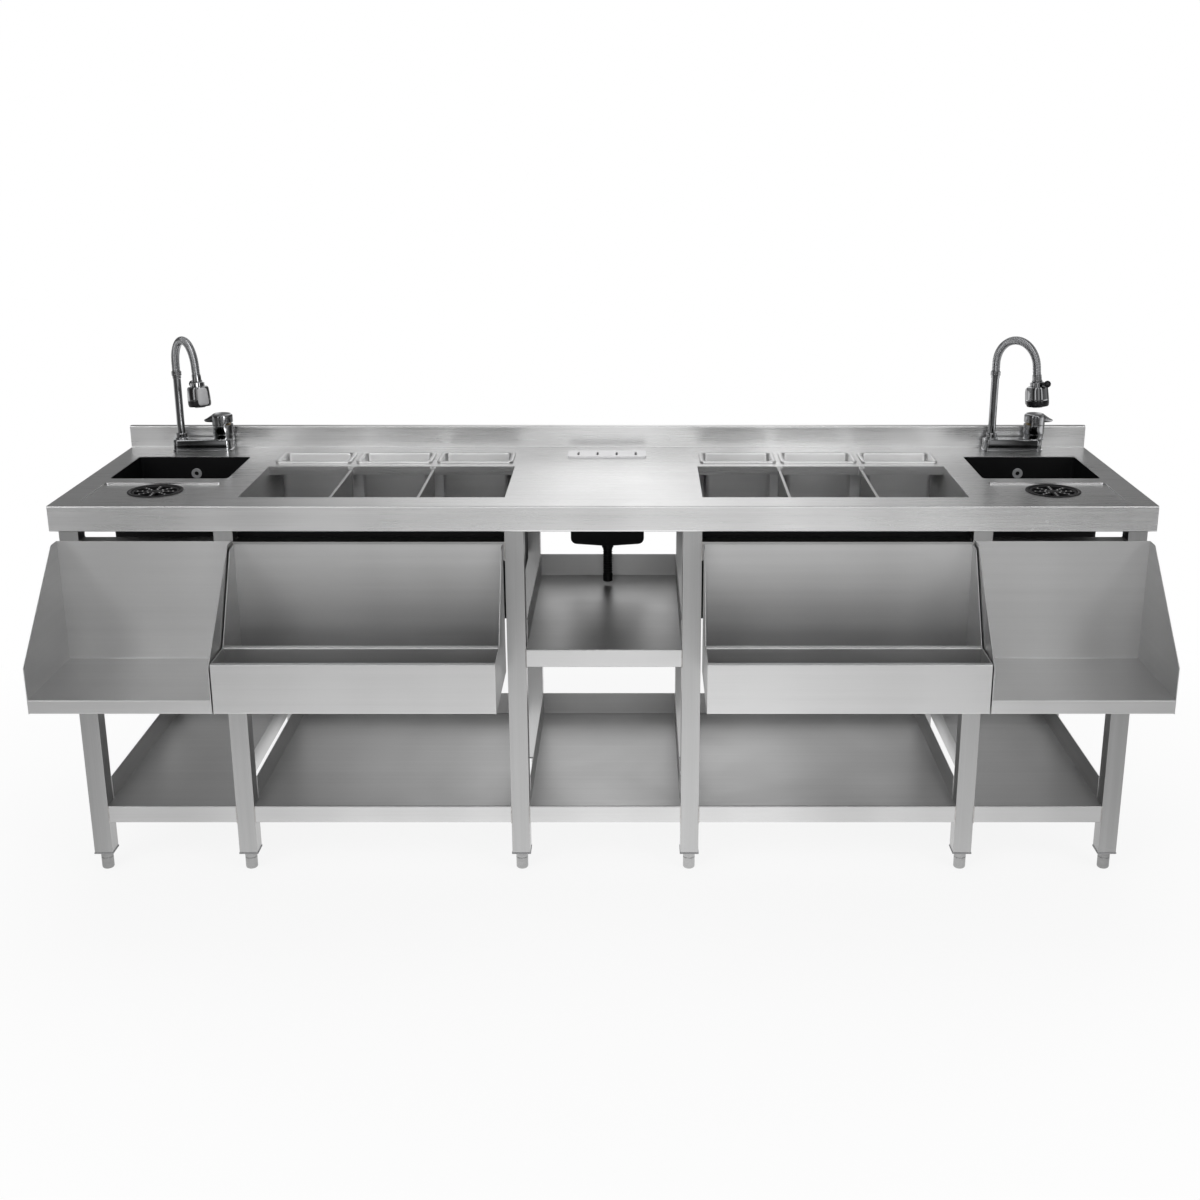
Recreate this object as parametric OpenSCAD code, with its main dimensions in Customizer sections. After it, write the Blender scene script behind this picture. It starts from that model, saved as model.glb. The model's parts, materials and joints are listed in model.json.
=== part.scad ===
// Two-sided cocktail station: worktop with two sinks, two ice wells, bottle rails and shelves.
// Millimetres, Z up. The origin lies on the floor, under the middle of the station's outline.
// Inside bench() Y is measured from the worktop's front edge, towards the wall.

/* [Worktop] */
// Length of the worktop
bench_w = 2300; // [2270:10:2500]
// Depth of the worktop, front edge to wall
bench_d = 600; // [596:2:700]
// Height of the worktop above the floor
bench_h = 845; // [830:5:950]
// Thickness of the folded sheets
sheet = 1.5; // [1:0.1:2]
// Middle radius of each fold
fold_r = 2.5; // [2:0.5:4]
// Height of the front and side fascia
fascia_h = 55; // [50:1:62]
// Width of the return under the front fascia
return_w = 17; // [10:1:18]
// Width of the return under the side fascias
side_return_w = 10; // [5:1:11]
// Height of the rear upstand
upstand_h = 52; // [30:1:100]
// Thickness of the rear upstand
upstand_d = 17; // [13:1:20]

/* [Frame] */
// Width of the square leg tubes
leg_w = 40; // [36:1:42]
// Wall of the square tubes
tube_wall = 1.5; // [1.2:0.1:2]
// Distance of the front legs behind the worktop's front edge
leg_front = 20; // [20:1:24]
// Distance of the end legs inside the worktop's ends
leg_side = 12; // [12:1:14]
// Clear width of the middle bay
centre_bay_w = 334; // [320:2:360]
// Clear width of each ice bay
ice_bay_w = 568; // [567:1:580]
// Width of the thin tubes under the worktop
thin_tube_w = 25; // [20:1:25]
// Height of the top of the front rails
rail_top_z = 763; // [740:1:780]

/* [Feet] */
// Diameter of the bullet feet
foot_d = 26.5; // [22:0.5:34]
// Height of the feet below the legs
foot_h = 42; // [30:1:55]
// Diameter of the foot thread
foot_thread_d = 10; // [8:1:12]
// Length of the foot thread above the foot
foot_thread_l = 28; // [15:1:40]

/* [Lower shelves] */
// Height of the lower shelves' surface
shelf_z = 158; // [120:2:260]
// Height of the front lip of the shelves
shelf_lip_h = 40; // [30:1:50]
// Height of the rear and side upstands of the shelves
shelf_upstand_h = 54; // [30:1:70]
// Height of the middle shelf's surface
mid_shelf_z = 524; // [460:2:530]

/* [Speed rails and blender shelves] */
// How far the rails and shelves stand out in front of the worktop
reach = 230; // [200:2:260]
// Height of the underside of the rails and shelves
rack_z = 475; // [440:1:520]
// Height of the front panel of the speed rail
rail_front_h = 105; // [80:1:120]
// Height of the back panel of the speed rail
rail_back_h = 283; // [250:1:286]
// Distance of the bottle divider behind the front panel
rail_row_d = 104; // [90:1:120]
// Width of the folds along the top edges
edge_w = 11; // [8:1:14]
// Height of the blender shelf's floor above its underside
blender_floor_h = 30; // [20:1:40]
// Height of the blender shelf's front side edges
blender_side_h = 97; // [60:1:130]
// Height of the blender shelf's back panel
blender_back_h = 290; // [250:1:300]
// Gap between a speed rail and its neighbours
rack_gap = 3; // [2:0.5:5]
// Distance of the blender shelf inside the worktop's end
blender_side = 5; // [2:1:15]
// Radius of the corners of the side panels
side_corner_r = 14; // [8:1:20]

/* [Ice wells] */
// Width of the ice opening
ice_w = 564; // [550:1:564]
// Distance of the ice opening behind the front edge
ice_front = 77; // [76:1:80]
// Length of the ice opening, front to rear
ice_l = 297; // [280:1:300]
// Depth of the ice well
ice_depth = 250; // [240:5:260]
// Length of the ice well's liner, front to rear
liner_l = 443; // [440:1:444]
// Thickness of the insulated jacket
jacket_t = 13; // [8:1:13]
// Height of the fold under the rear edge of the ice opening
ledge_h = 20; // [12:1:30]
// Thickness of the ice dividers
divider_t = 2; // [1.5:0.1:3]
// Depth of the dividers' top below the worktop
divider_drop = 9; // [4:1:20]
// Radius of the ice well's drain pipe
ice_drain_r = 16; // [12:1:20]

/* [Garnish pans] */
// Width of a pan over its rim
pan_w = 176; // [172:1:178]
// Length of a pan over its rim
pan_l = 108; // [100:1:109]
// Depth of a pan
pan_depth = 100; // [65:5:120]
// Distance between the middles of two pans
pan_pitch = 187; // [186:1:188]
// Distance of the pan rims behind the front edge
pan_front = 403; // [398:1:405]
// Width of the pan rim
pan_rim_w = 9; // [7:0.5:10]
// Height of the pan rim above the worktop
pan_rim_h = 4; // [3:0.5:6]

/* [Sinks and drainers] */
// Width of the sink bowl
sink_w = 262; // [250:1:264]
// Length of the sink bowl, front to rear
sink_l = 226; // [210:1:240]
// Depth of the sink bowl
sink_depth = 180; // [150:5:200]
// Distance of the sink behind the front edge
sink_front = 251; // [245:1:255]
// Distance of the sink inside the worktop's end
sink_side = 51; // [51:1:56]
// Corner radius of the sink bowl
sink_corner_r = 10; // [6:1:20]
// Radius of the sink's waste outlet
waste_r = 43; // [35:1:50]
// Radius of the sink's tail pipe
tail_r = 20; // [16:1:24]
// Height of the overflow's middle below the worktop
overflow_drop = 40; // [35:1:60]
// Width of the drainer recess
drainer_w = 256; // [240:1:256]
// Length of the drainer recess
drainer_l = 175; // [165:1:180]
// Distance of the drainer recess behind the front edge
drainer_front = 37; // [30:1:40]
// Depth of the drainer recess
drainer_depth = 4; // [3:0.5:8]
// Radius of the glass rinser
rinser_r = 59; // [55:1:70]
// Depth of the glass rinser's cup
rinser_depth = 40; // [36:1:44]
// Travel of the glass rinser's press plate
rinser_travel = 8; // [5:1:10]

/* [Knife holder] */
// Width of the knife plate
knife_w = 184; // [176:1:196]
// Length of the knife plate, front to rear
knife_l = 68; // [62:1:76]
// Distance of the knife plate behind the front edge
knife_front = 460; // [440:1:490]
// Thickness of the knife plate above the worktop
knife_plate_h = 4; // [2:0.5:6]
// Number of knife slots
knife_slots = 4; // [2:1:4]
// Depth of the knife well below the worktop
knife_depth = 213; // [180:1:220]
// Diameter of the knife well's drain hose
hose_d = 23; // [18:1:26]

/* [Taps] */
// Distance between the spout and the lever
tap_pitch = 100; // [90:1:110]
// Distance of the tap's middle behind the front edge
tap_y = 553; // [550:1:556]
// Width of the tap's body
tap_body_w = 142; // [138:1:150]
// Thickness of the tap's body, front to rear
tap_body_d = 48; // [44:1:52]
// Height of the tap's bar
tap_bar_h = 28; // [22:1:34]
// Height of the lever's pillar
pillar_h = 63; // [55:1:75]
// Radius of the lever's pillar
pillar_r = 24.5; // [22:0.5:27]
// Height of the lever's cap
cap_h = 25; // [22:1:30]
// Reach of the lever from its axis
lever_reach = 43; // [38:1:60]
// Radius of the riser tube
riser_r = 9; // [8:0.5:10]
// Height of the riser's top collar above the worktop
riser_h = 189; // [150:1:240]
// Radius of the gooseneck's bend
neck_r = 60; // [50:1:80]
// Outward tilt of the gooseneck's end, in degrees
neck_tilt = 7; // [0:1:15]
// Radius of the gooseneck hose over its ribs
neck_hose_r = 9.5; // [8.5:0.5:10]
// Direction of the spouts at rest, in degrees about the riser
spout_turn = -53; // [-120:1:-20]
// Radius of the spray head
spray_r = 26; // [22:0.5:30]
// Radius of the tap's supply shanks
shank_r = 10; // [8:0.5:10.5]
// Length of the supply shanks below the worktop
shank_l = 48; // [40:1:60]

/* [Hidden] */
sides = [-1, 1];
side_names = ["left", "right"];
half = 1 / 2;
cut = 1;
// running clearance round pins, threads and stems
run_fit = 0.05;
// gap that keeps moving faces apart
face_gap = 0.3;
bend_steps = 4;
ring_steps = 64;
// what the outline reaches in front of and behind the origin
front_y = -(bench_d - reach) * half;
top_in = bench_h - sheet;

steel = [0.74, 0.74, 0.75];
shade_steel = [0.6, 0.6, 0.62];
chrome = [0.82, 0.83, 0.85];
black = [0.05, 0.05, 0.055];
white = [0.9, 0.9, 0.9];

// places of the legs' middles along X and Y
centre_leg_x = centre_bay_w * half + leg_w * half;
ice_leg_x = centre_leg_x + leg_w + ice_bay_w;
end_leg_x = bench_w * half - leg_side - leg_w * half;
leg_xs = [-end_leg_x, -ice_leg_x, -centre_leg_x, centre_leg_x, ice_leg_x, end_leg_x];
leg_rear_gap = 0.5;
rear_leg_front = bench_d - sheet - leg_rear_gap - leg_w;
leg_ys = [leg_front, rear_leg_front];
leg_plug_h = 12;
foot_nose_share = 0.35;

// clear stretches between the legs, from left to right
bay_gaps = [for (i = [0:len(leg_xs) - 2]) [leg_xs[i] + leg_w * half, leg_xs[i + 1] - leg_w * half]];
shelf_rear = rear_leg_front + leg_w * half;
rail_inner_x = centre_leg_x + leg_w * half + rack_gap + face_gap;
rail_outer_x = ice_leg_x - leg_w * half;
blender_inner_x = rail_outer_x + rack_gap;
blender_outer_x = bench_w * half - blender_side;

ice_x = (centre_leg_x + ice_leg_x) * half;
liner_floor_z = bench_h - ice_depth;
compartments = 3;
guide_t = 3;
guide_w = 9;
guide_gap = 0.5;
divider_clear = 1.5;
divider_hem_w = 6;
divider_hem_h = 10;
divider_top = bench_h - divider_drop;
drain_hole_gap = 0.3;
drain_flange_w = 12;
drain_flange_h = 2;
drain_clear = 14.5;
drain_wall = 2;

pan_t = 1;
pan_corner_r = 12;
pan_shoulder_h = 25;
pan_shoulder_w = 3;
pan_clear = 2;
pans_per_side = 3;
pan_body_w = pan_w - 2 * pan_rim_w;
pan_body_l = pan_l - 2 * pan_rim_w;

sink_x = bench_w * half - sink_side - sink_w * half;
sink_floor_z = bench_h - sink_depth;
overflow_pipe_r = 9;
overflow_rose_r = 12;
overflow_rose_t = 3;
overflow_slot_r = 5;
overflow_back = 14;
waste_flange_w = 12;
waste_flange_h = 2;
waste_cup_h = 34;
waste_nut_w = 9;
waste_nut_h = 12;
waste_drop = 33;
pipe_wall_gap = 30;
pipe_end_l = 60;
pipe_socket_t = 2.5;
waste_wall = 2;
strainer_hole_r = 3;
strainer_ring_r = 12;
strainer_holes = 8;

drainer_x = sink_x;
drainer_floor_z = bench_h - drainer_depth;
drainer_corner_r = 8;
rinser_edge = 3;
rinser_y = drainer_front + drainer_l - rinser_edge - rinser_r;
rinser_lip_w = 5;
rinser_lip_h = 2;
rinser_wall = 2.5;
rinser_stem_r = 6;
rinser_boss_r = 10;
rinser_boss_h = 18;
rinser_arms = 8;
rinser_arm_w = 7;
rinser_plate_t = 4;
rinser_ring_w = 5;
rinser_rim_gap = 1;
rinser_tail_r = 9;
rinser_tail_l = 22;
rinser_cup_r = rinser_r - rinser_lip_w;
rinser_cup_z = drainer_floor_z - rinser_depth;

knife_clear = 4;
knife_skirt_h = 8;
knife_wall = 2;
knife_slot_l = 34;
knife_slot_w = 5;
knife_slot_pitch = 45;
knife_corner_r = 10;
knife_well_inset = 2;
knife_well_r = 14;
knife_fall_h = 5;
knife_fit = 0.3;
hose_nut_r = 14;
hose_nut_h = 12;
hose_neck_l = 12;
hose_rib_pitch = 6;
hose_rib_h = 1.2;
hose_land_l = 4.5;
hose_wall = 2;
hose_shelf_gap = 12;

body_z = bench_h;
spout_nut_h = 14;
spout_nut_r = 13;
spout_pillar_r = 15.5;
socket_depth = 12;
body_corner_r = 15;
edge_r = 3;
shank_wall = 3;
shank_nut_r = 16;
shank_nut_h = 7;
hole_gap = 2;
cartridge_r = 17;
cartridge_h = 22;
cartridge_neck_gap = 0.5;
cartridge_rise = 2;
pivot_x = -15;
pivot_r = 2;
pivot_h = 8;
ear_w = 6;
ear_l = 12;
ear_h = 6;
cap_wall = 4;
cap_round_r = 6;
cap_relief_x = -12;
cap_relief_h = 5;
lever_tip_t = 5;
lever_tip_w = 16;
lever_end_w = 8;
lever_root_w = 36;
lever_tip_drop = 14;
// the pin stops just inside the cap's outer wall
pivot_half_l = sqrt(pow(pillar_r, 2) - pow(pivot_x, 2)) - edge_r * half;
riser_wall = 2;
collar_r = 11.5;
collar_h = 10;
neck_bore_r = 6;
neck_root_r = 8.6;
neck_ribs = 64;
neck_sides = 8;
neck_straight = 2 * neck_hose_r;
neck_sweep = 180 - neck_tilt;
neck_arc_l = neck_r * neck_sweep * PI / 180;
neck_l = 2 * neck_straight + neck_arc_l;
ferrule_r = 10.5;
ferrule_l = 15;
stub_r = 5;
stub_l = 8;
spray_neck_r = 16;
spray_neck_l = 11;
spray_body_l = 32;
spray_ring_l = 14;
nozzle_r = 13;
nozzle_l = 2;
spray_top = -ferrule_l - face_gap;
knob_z = spray_top - spray_neck_l * half;
knob_r = 8;
knob_stem_r = 3;
knob_bore_l = 5;
knob_reach = spray_r + 3.5;
paddle_w = 24;
paddle_t = 3;

// Bent sheet: fillets every corner of a line of points, then gives it a thickness on both sides.
function unit(v) = v / norm(v);
function left_of(v) = [-v[1], v[0]];
function turned(v, a) = [v[0] * cos(a) - v[1] * sin(a), v[0] * sin(a) + v[1] * cos(a)];
function bend(before, corner, after, r) =
    let (
        a = unit(corner - before),
        b = unit(after - corner),
        turn = atan2(cross(a, b), a * b),
        side = sign(turn),
        start = corner - a * r * tan(abs(turn) * half),
        middle = start + left_of(a) * side * r
    )
    [for (i = [0:bend_steps])
        let (d = turned(a, turn * i / bend_steps)) [middle - left_of(d) * side * r, left_of(d)]];
function bent_path(points, r) =
    let (last = len(points) - 1)
    [for (i = [0:last])
        each (i == 0 ? [[points[0], left_of(unit(points[1] - points[0]))]]
            : i == last ? [[points[last], left_of(unit(points[last] - points[last - 1]))]]
            : bend(points[i - 1], points[i], points[i + 1], r))];
function side_of(path, offset) = [for (p = path) p[0] + p[1] * offset];
function reversed(list) = [for (i = [len(list) - 1:-1:0]) list[i]];

module folded(points, t = sheet) {
    path = bent_path(points, fold_r);
    polygon(concat(side_of(path, t * half), reversed(side_of(path, -t * half))));
}

// Round-cornered rectangle with its lowest corner at zero.
module rounded_rect(size, r) {
    translate([r, 0]) square([size[0] - 2 * r, size[1]]);
    translate([0, r]) square([size[0], size[1] - 2 * r]);
    for (x = [r, size[0] - r], y = [r, size[1] - r]) translate([x, y]) circle(r, $fn = ring_steps);
}

module rounded_box(size, r) {
    linear_extrude(size[2]) rounded_rect([size[0], size[1]], r);
}

// A YZ outline drawn out along X, and an XZ outline drawn out along Y.
module along_x(x0, x1) {
    translate([x0, 0, 0]) rotate([90, 0, 90]) linear_extrude(x1 - x0) children();
}

module along_y(y0, y1) {
    translate([0, y1, 0]) rotate([90, 0, 0]) linear_extrude(y1 - y0) children();
}

module span(low, high) {
    translate(low) cube(high - low);
}

module rod(r, h) {
    cylinder(r = r, h = h, $fn = ring_steps);
}

module bench() {
    translate([0, front_y, 0]) children();
}

module tube(low, high, axis) {
    inset = [for (i = [0:2]) i == axis ? -cut : tube_wall];
    difference() {
        span(low, high);
        span(low + inset, high - inset);
    }
}

// Outline of the worktop's sheet from the front return, over the top, to the rear edge.
worktop_line = [
    [return_w, bench_h - fascia_h + sheet * half],
    [sheet * half, bench_h - fascia_h + sheet * half],
    [sheet * half, bench_h - sheet * half],
    [bench_d - upstand_d + sheet * half, bench_h - sheet * half],
    [bench_d - upstand_d + sheet * half, bench_h + upstand_h - sheet * half],
    [bench_d - sheet * half, bench_h + upstand_h - sheet * half],
    [bench_d - sheet * half, bench_h - fascia_h]
];

module worktop_end(side) {
    x = side * bench_w * half;
    x_in = x - side * sheet;
    outer = side_of(bent_path(worktop_line, fold_r), sheet * half);
    along_x(min(x, x_in), max(x, x_in)) polygon(outer);
    x_return = x - side * side_return_w;
    span([min(x, x_return), return_w, bench_h - fascia_h],
        [max(x, x_return), bench_d - sheet, bench_h - fascia_h + sheet]);
}

module drainer_tray(side) {
    translate([side * drainer_x - drainer_w * half - sheet, drainer_front - sheet, drainer_floor_z - sheet])
        rounded_box([drainer_w + 2 * sheet, drainer_l + 2 * sheet, drainer_depth], drainer_corner_r + sheet);
}

module drainer_cuts(side) {
    translate([side * drainer_x - drainer_w * half, drainer_front, drainer_floor_z])
        rounded_box([drainer_w, drainer_l, drainer_depth + cut], drainer_corner_r);
    translate([side * drainer_x, rinser_y, drainer_floor_z - sheet - cut])
        rod(rinser_r - rinser_lip_w + drain_hole_gap, sheet + 2 * cut);
}

module sink_cut(side) {
    translate([side * sink_x - sink_w * half, sink_front, top_in - cut])
        rounded_box([sink_w, sink_l, sheet + 2 * cut], sink_corner_r);
}

module ice_cut(side) {
    span([side * ice_x - ice_w * half, ice_front, top_in - cut],
        [side * ice_x + ice_w * half, ice_front + ice_l, bench_h + cut]);
}

function pan_x(side, i) = side * ice_x + (i - (pans_per_side - 1) * half) * pan_pitch;

module pan_cuts(side) {
    size = [pan_body_w + 2 * pan_clear, pan_body_l + 2 * pan_clear, sheet + 2 * cut];
    for (i = [0:pans_per_side - 1])
        translate([pan_x(side, i) - size[0] * half, pan_front + pan_rim_w - pan_clear, top_in - cut])
            rounded_box(size, pan_corner_r);
}

// Fold under the ice opening's rear edge, with the cleats that hold the dividers' tops.
module ledge(side) {
    y = ice_front + ice_l;
    low_x = side * ice_x - ice_w * half;
    span([low_x, y, bench_h - ledge_h], [low_x + ice_w, y + sheet, top_in]);
    for (i = [1:compartments - 1]) divider_guides(side, i, y - guide_w, y, bench_h - ledge_h, top_in);
}

function divider_x(side, i) = side * ice_x + (i / compartments - half) * ice_w;

module divider_guides(side, i, y0, y1, z0, z1) {
    for (s = sides) {
        near = divider_x(side, i) + s * (divider_hem_w * half + guide_gap);
        far = near + s * guide_t;
        span([min(near, far), y0, z0], [max(near, far), y1, z1]);
    }
}

module tap_cuts(side) {
    for (s = sides)
        translate([side * sink_x + s * tap_pitch * half, tap_y, top_in - cut])
            rod(shank_r + hole_gap, sheet + 2 * cut);
}

module knife_cut() {
    translate([-knife_w * half + knife_clear, knife_front + knife_clear, top_in - cut])
        rounded_box([knife_w - 2 * knife_clear, knife_l - 2 * knife_clear, sheet + 2 * cut],
            knife_corner_r - knife_clear);
}

module worktop() {
    color(steel) bench() difference() {
        union() {
            along_x(-bench_w * half, bench_w * half) folded(worktop_line);
            for (side = sides) {
                worktop_end(side);
                drainer_tray(side);
                ledge(side);
            }
        }
        for (side = sides) {
            drainer_cuts(side);
            sink_cut(side);
            ice_cut(side);
            pan_cuts(side);
            tap_cuts(side);
        }
        knife_cut();
    }
}

module leg(x, y) {
    low = [x - leg_w * half, y, foot_h];
    high = [x + leg_w * half, y + leg_w, top_in];
    difference() {
        span(low, high);
        span(low + [tube_wall, tube_wall, leg_plug_h], high + [-tube_wall, -tube_wall, cut]);
        translate([x, y + leg_w * half, foot_h - cut])
            rod(foot_thread_d * half + run_fit, leg_plug_h + 2 * cut);
    }
}

module legs() {
    color(steel) bench() for (x = leg_xs, y = leg_ys) leg(x, y);
}

// Bullet foot: a threaded stem on a round body with a rounded end.
module foot(i, row) {
    r = foot_d * half;
    nose = r * foot_nose_share;
    top = foot_h - face_gap;
    color(chrome) bench() translate([leg_xs[i], leg_ys[row] + leg_w * half, 0])
        rotate_extrude($fn = ring_steps) polygon(concat(
            [[0, 0], [r - nose, 0]],
            [for (a = [-90 + 15:15:0]) [r - nose + nose * cos(a), nose + nose * sin(a)]],
            [[r, top], [foot_thread_d * half, top]],
            [[foot_thread_d * half, foot_h + foot_thread_l], [0, foot_h + foot_thread_l]]));
}

// Wide rails behind the racks, thin rails under the worktop.
module frame_rails() {
    thin_z = top_in - thin_tube_w;
    color(steel) bench() {
        for (i = [0, 1, 3, 4])
            tube([bay_gaps[i][0], leg_front, rail_top_z - leg_w],
                [bay_gaps[i][1], leg_front + leg_w, rail_top_z], 0);
        tube([bay_gaps[2][0], leg_front, thin_z], [bay_gaps[2][1], leg_front + thin_tube_w, top_in], 0);
        for (gap = bay_gaps)
            tube([gap[0], rear_leg_front + leg_w - thin_tube_w, thin_z],
                [gap[1], rear_leg_front + leg_w, top_in], 0);
    }
}

// Shelf between two pairs of legs: front lip with return, rear upstand and side upstands.
module shelf(gap, z) {
    line = [
        [leg_front + return_w, z - shelf_lip_h + sheet * half],
        [leg_front + sheet * half, z - shelf_lip_h + sheet * half],
        [leg_front + sheet * half, z - sheet * half],
        [shelf_rear, z - sheet * half],
        [shelf_rear, z + shelf_upstand_h]
    ];
    along_x(gap[0], gap[1]) folded(line);
    for (x = [gap[0], gap[1] - sheet])
        span([x, leg_front + leg_w, z - sheet], [x + sheet, shelf_rear, z + shelf_upstand_h]);
}

module end_shelves() {
    color(shade_steel) bench() for (i = [0, 4]) shelf(bay_gaps[i], shelf_z);
}

module ice_bay_shelves() {
    color(shade_steel) bench() for (i = [1, 3]) shelf(bay_gaps[i], shelf_z);
}

module centre_shelf() {
    color(shade_steel) bench() shelf(bay_gaps[2], shelf_z);
}

module mid_shelf() {
    color(shade_steel) bench() shelf(bay_gaps[2], mid_shelf_z);
}

// Side panel of a rack: front edge, level stretch, slope up to the back, rounded at its corners.
function arc_corner(before, corner, after, r) = side_of(bend(before, corner, after, r), 0);
function side_outline(front_h, level_l, back_h) =
    let (
        y1 = leg_front,
        a = [-reach, rack_z],
        b = [-reach, rack_z + front_h],
        c = [-reach + level_l, rack_z + front_h],
        d = [-side_corner_r, rack_z + back_h],
        e = [y1, rack_z + back_h]
    )
    concat([[y1, rack_z], a, b],
        level_l > side_corner_r ? arc_corner(b, c, d, side_corner_r) : [],
        arc_corner(level_l > side_corner_r ? c : b, d, e, side_corner_r), [e]);

module side_panel(x, front_h, level_l, back_h) {
    along_x(x, x + sheet) polygon(side_outline(front_h, level_l, back_h));
}

// Speed rail: one sheet folded from the front panel over the floor to the back, and two sides.
module speed_rail(side) {
    line = [
        [-reach + edge_w, rack_z + rail_front_h - sheet * half],
        [-reach + sheet * half, rack_z + rail_front_h - sheet * half],
        [-reach + sheet * half, rack_z + sheet * half],
        [leg_front - sheet * half, rack_z + sheet * half],
        [leg_front - sheet * half, rack_z + rail_back_h]
    ];
    low = min(side * rail_inner_x, side * rail_outer_x);
    high = max(side * rail_inner_x, side * rail_outer_x);
    color(steel) bench() {
        along_x(low, high) folded(line);
        side_panel(low, rail_front_h, rail_row_d, rail_back_h);
        side_panel(high - sheet, rail_front_h, rail_row_d, rail_back_h);
    }
}

// Upright between the two bottle rows, folded over along its top.
module bottle_divider(side) {
    low = min(side * rail_inner_x, side * rail_outer_x) + sheet;
    high = max(side * rail_inner_x, side * rail_outer_x) - sheet;
    y = -reach + rail_row_d;
    top = rack_z + rail_front_h;
    floor_z = rack_z + sheet;
    line = [
        [y + edge_w, floor_z + sheet * half],
        [y, floor_z + sheet * half],
        [y, top - sheet * half],
        [y + edge_w, top - sheet * half]
    ];
    along_x(low, high) folded(line);
}

module bottle_dividers() {
    color(steel) bench() for (side = sides) bottle_divider(side);
}

module blender_shelf(side) {
    floor_z = rack_z + blender_floor_h;
    line = [
        [-reach + return_w, rack_z + sheet * half],
        [-reach + sheet * half, rack_z + sheet * half],
        [-reach + sheet * half, floor_z - sheet * half],
        [leg_front - sheet * half, floor_z - sheet * half],
        [leg_front - sheet * half, rack_z + blender_back_h]
    ];
    low = min(side * blender_inner_x, side * blender_outer_x);
    high = max(side * blender_inner_x, side * blender_outer_x);
    color(steel) bench() {
        along_x(low, high) folded(line);
        side_panel(low, blender_side_h, 0, blender_back_h);
        side_panel(high - sheet, blender_side_h, 0, blender_back_h);
    }
}

module sink_bowl(side) {
    color(black) bench() difference() {
        translate([side * sink_x - sink_w * half - sheet, sink_front - sheet, sink_floor_z - sheet])
            rounded_box([sink_w + 2 * sheet, sink_l + 2 * sheet, sink_depth], sink_corner_r + sheet);
        translate([side * sink_x - sink_w * half, sink_front, sink_floor_z])
            rounded_box([sink_w, sink_l, sink_depth], sink_corner_r);
        translate([side * sink_x, sink_front + sink_l * half, sink_floor_z - sheet - cut])
            rod(waste_r + drain_hole_gap, sheet + 2 * cut);
        translate([side * sink_x, sink_front + sink_l - cut, bench_h - overflow_drop]) rotate([-90, 0, 0])
            rod(overflow_pipe_r, sheet + 2 * cut);
    }
}

// Waste pipe: drops from the origin, then runs back towards the wall.
module waste_pipe(r, drop, back) {
    translate([0, 0, -drop]) {
        rod(r, drop);
        sphere(r, $fn = ring_steps);
        rotate([-90, 0, 0]) rod(r, back);
    }
}

// Socket around a waste pipe from its elbow to the plain end at the wall.
module pipe_socket(r, drop, back) {
    translate([0, 0, -drop]) {
        sphere(r + pipe_socket_t, $fn = ring_steps);
        rotate([-90, 0, 0]) rod(r + pipe_socket_t, back - pipe_end_l);
    }
}

// Waste of a sink: flange, strainer cup, nut under the bowl and pipe to the wall, with the overflow.
module waste_kit(side) {
    x = side * sink_x;
    y = sink_front + sink_l * half;
    cup_z = sink_floor_z - waste_cup_h;
    back = bench_d - pipe_wall_gap - y;
    pipe_y = sink_front + sink_l + sheet + overflow_back;
    over_z = bench_h - overflow_drop;
    side_z = cup_z + overflow_pipe_r + waste_wall;
    difference() {
        union() {
            translate([x, y, sink_floor_z]) rod(waste_r + waste_flange_w, waste_flange_h);
            translate([x, y, cup_z]) rod(waste_r, waste_cup_h);
            translate([x, y, sink_floor_z - sheet - waste_nut_h]) rod(waste_r + waste_nut_w, waste_nut_h);
            translate([x, y, cup_z]) waste_pipe(tail_r, waste_drop, back);
            translate([x, y, cup_z]) pipe_socket(tail_r, waste_drop, back);
            translate([x, y, side_z]) rotate([-90, 0, 0]) rod(overflow_pipe_r, pipe_y - y);
            translate([x, pipe_y, side_z]) rod(overflow_pipe_r, over_z - side_z);
            for (z = [side_z, over_z]) translate([x, pipe_y, z]) sphere(overflow_pipe_r, $fn = ring_steps);
            translate([x, sink_front + sink_l + sheet, over_z]) rotate([-90, 0, 0])
                rod(overflow_pipe_r, overflow_back);
            translate([x, sink_front + sink_l - overflow_rose_t, over_z]) rotate([-90, 0, 0])
                rod(overflow_rose_r, overflow_rose_t);
            translate([x, sink_front + sink_l - cut, over_z]) rotate([-90, 0, 0])
                rod(overflow_pipe_r - drain_hole_gap, sheet + 2 * cut);
        }
        translate([x, y, cup_z + waste_wall]) rod(waste_r - waste_wall, waste_cup_h + waste_flange_h);
        for (a = [0:360 / strainer_holes:359])
            translate([x + strainer_ring_r * cos(a), y + strainer_ring_r * sin(a), cup_z - cut])
                rod(strainer_hole_r, waste_wall + 2 * cut);
        translate([x, y, cup_z]) waste_pipe(tail_r - waste_wall, waste_drop, back + cut);
        translate([x, sink_front + sink_l - overflow_rose_t - cut, over_z]) rotate([-90, 0, 0])
            rod(overflow_slot_r, overflow_rose_t + 2 * cut);
    }
}

module waste_kits() {
    color(chrome) bench() for (side = sides) waste_kit(side);
}

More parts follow.
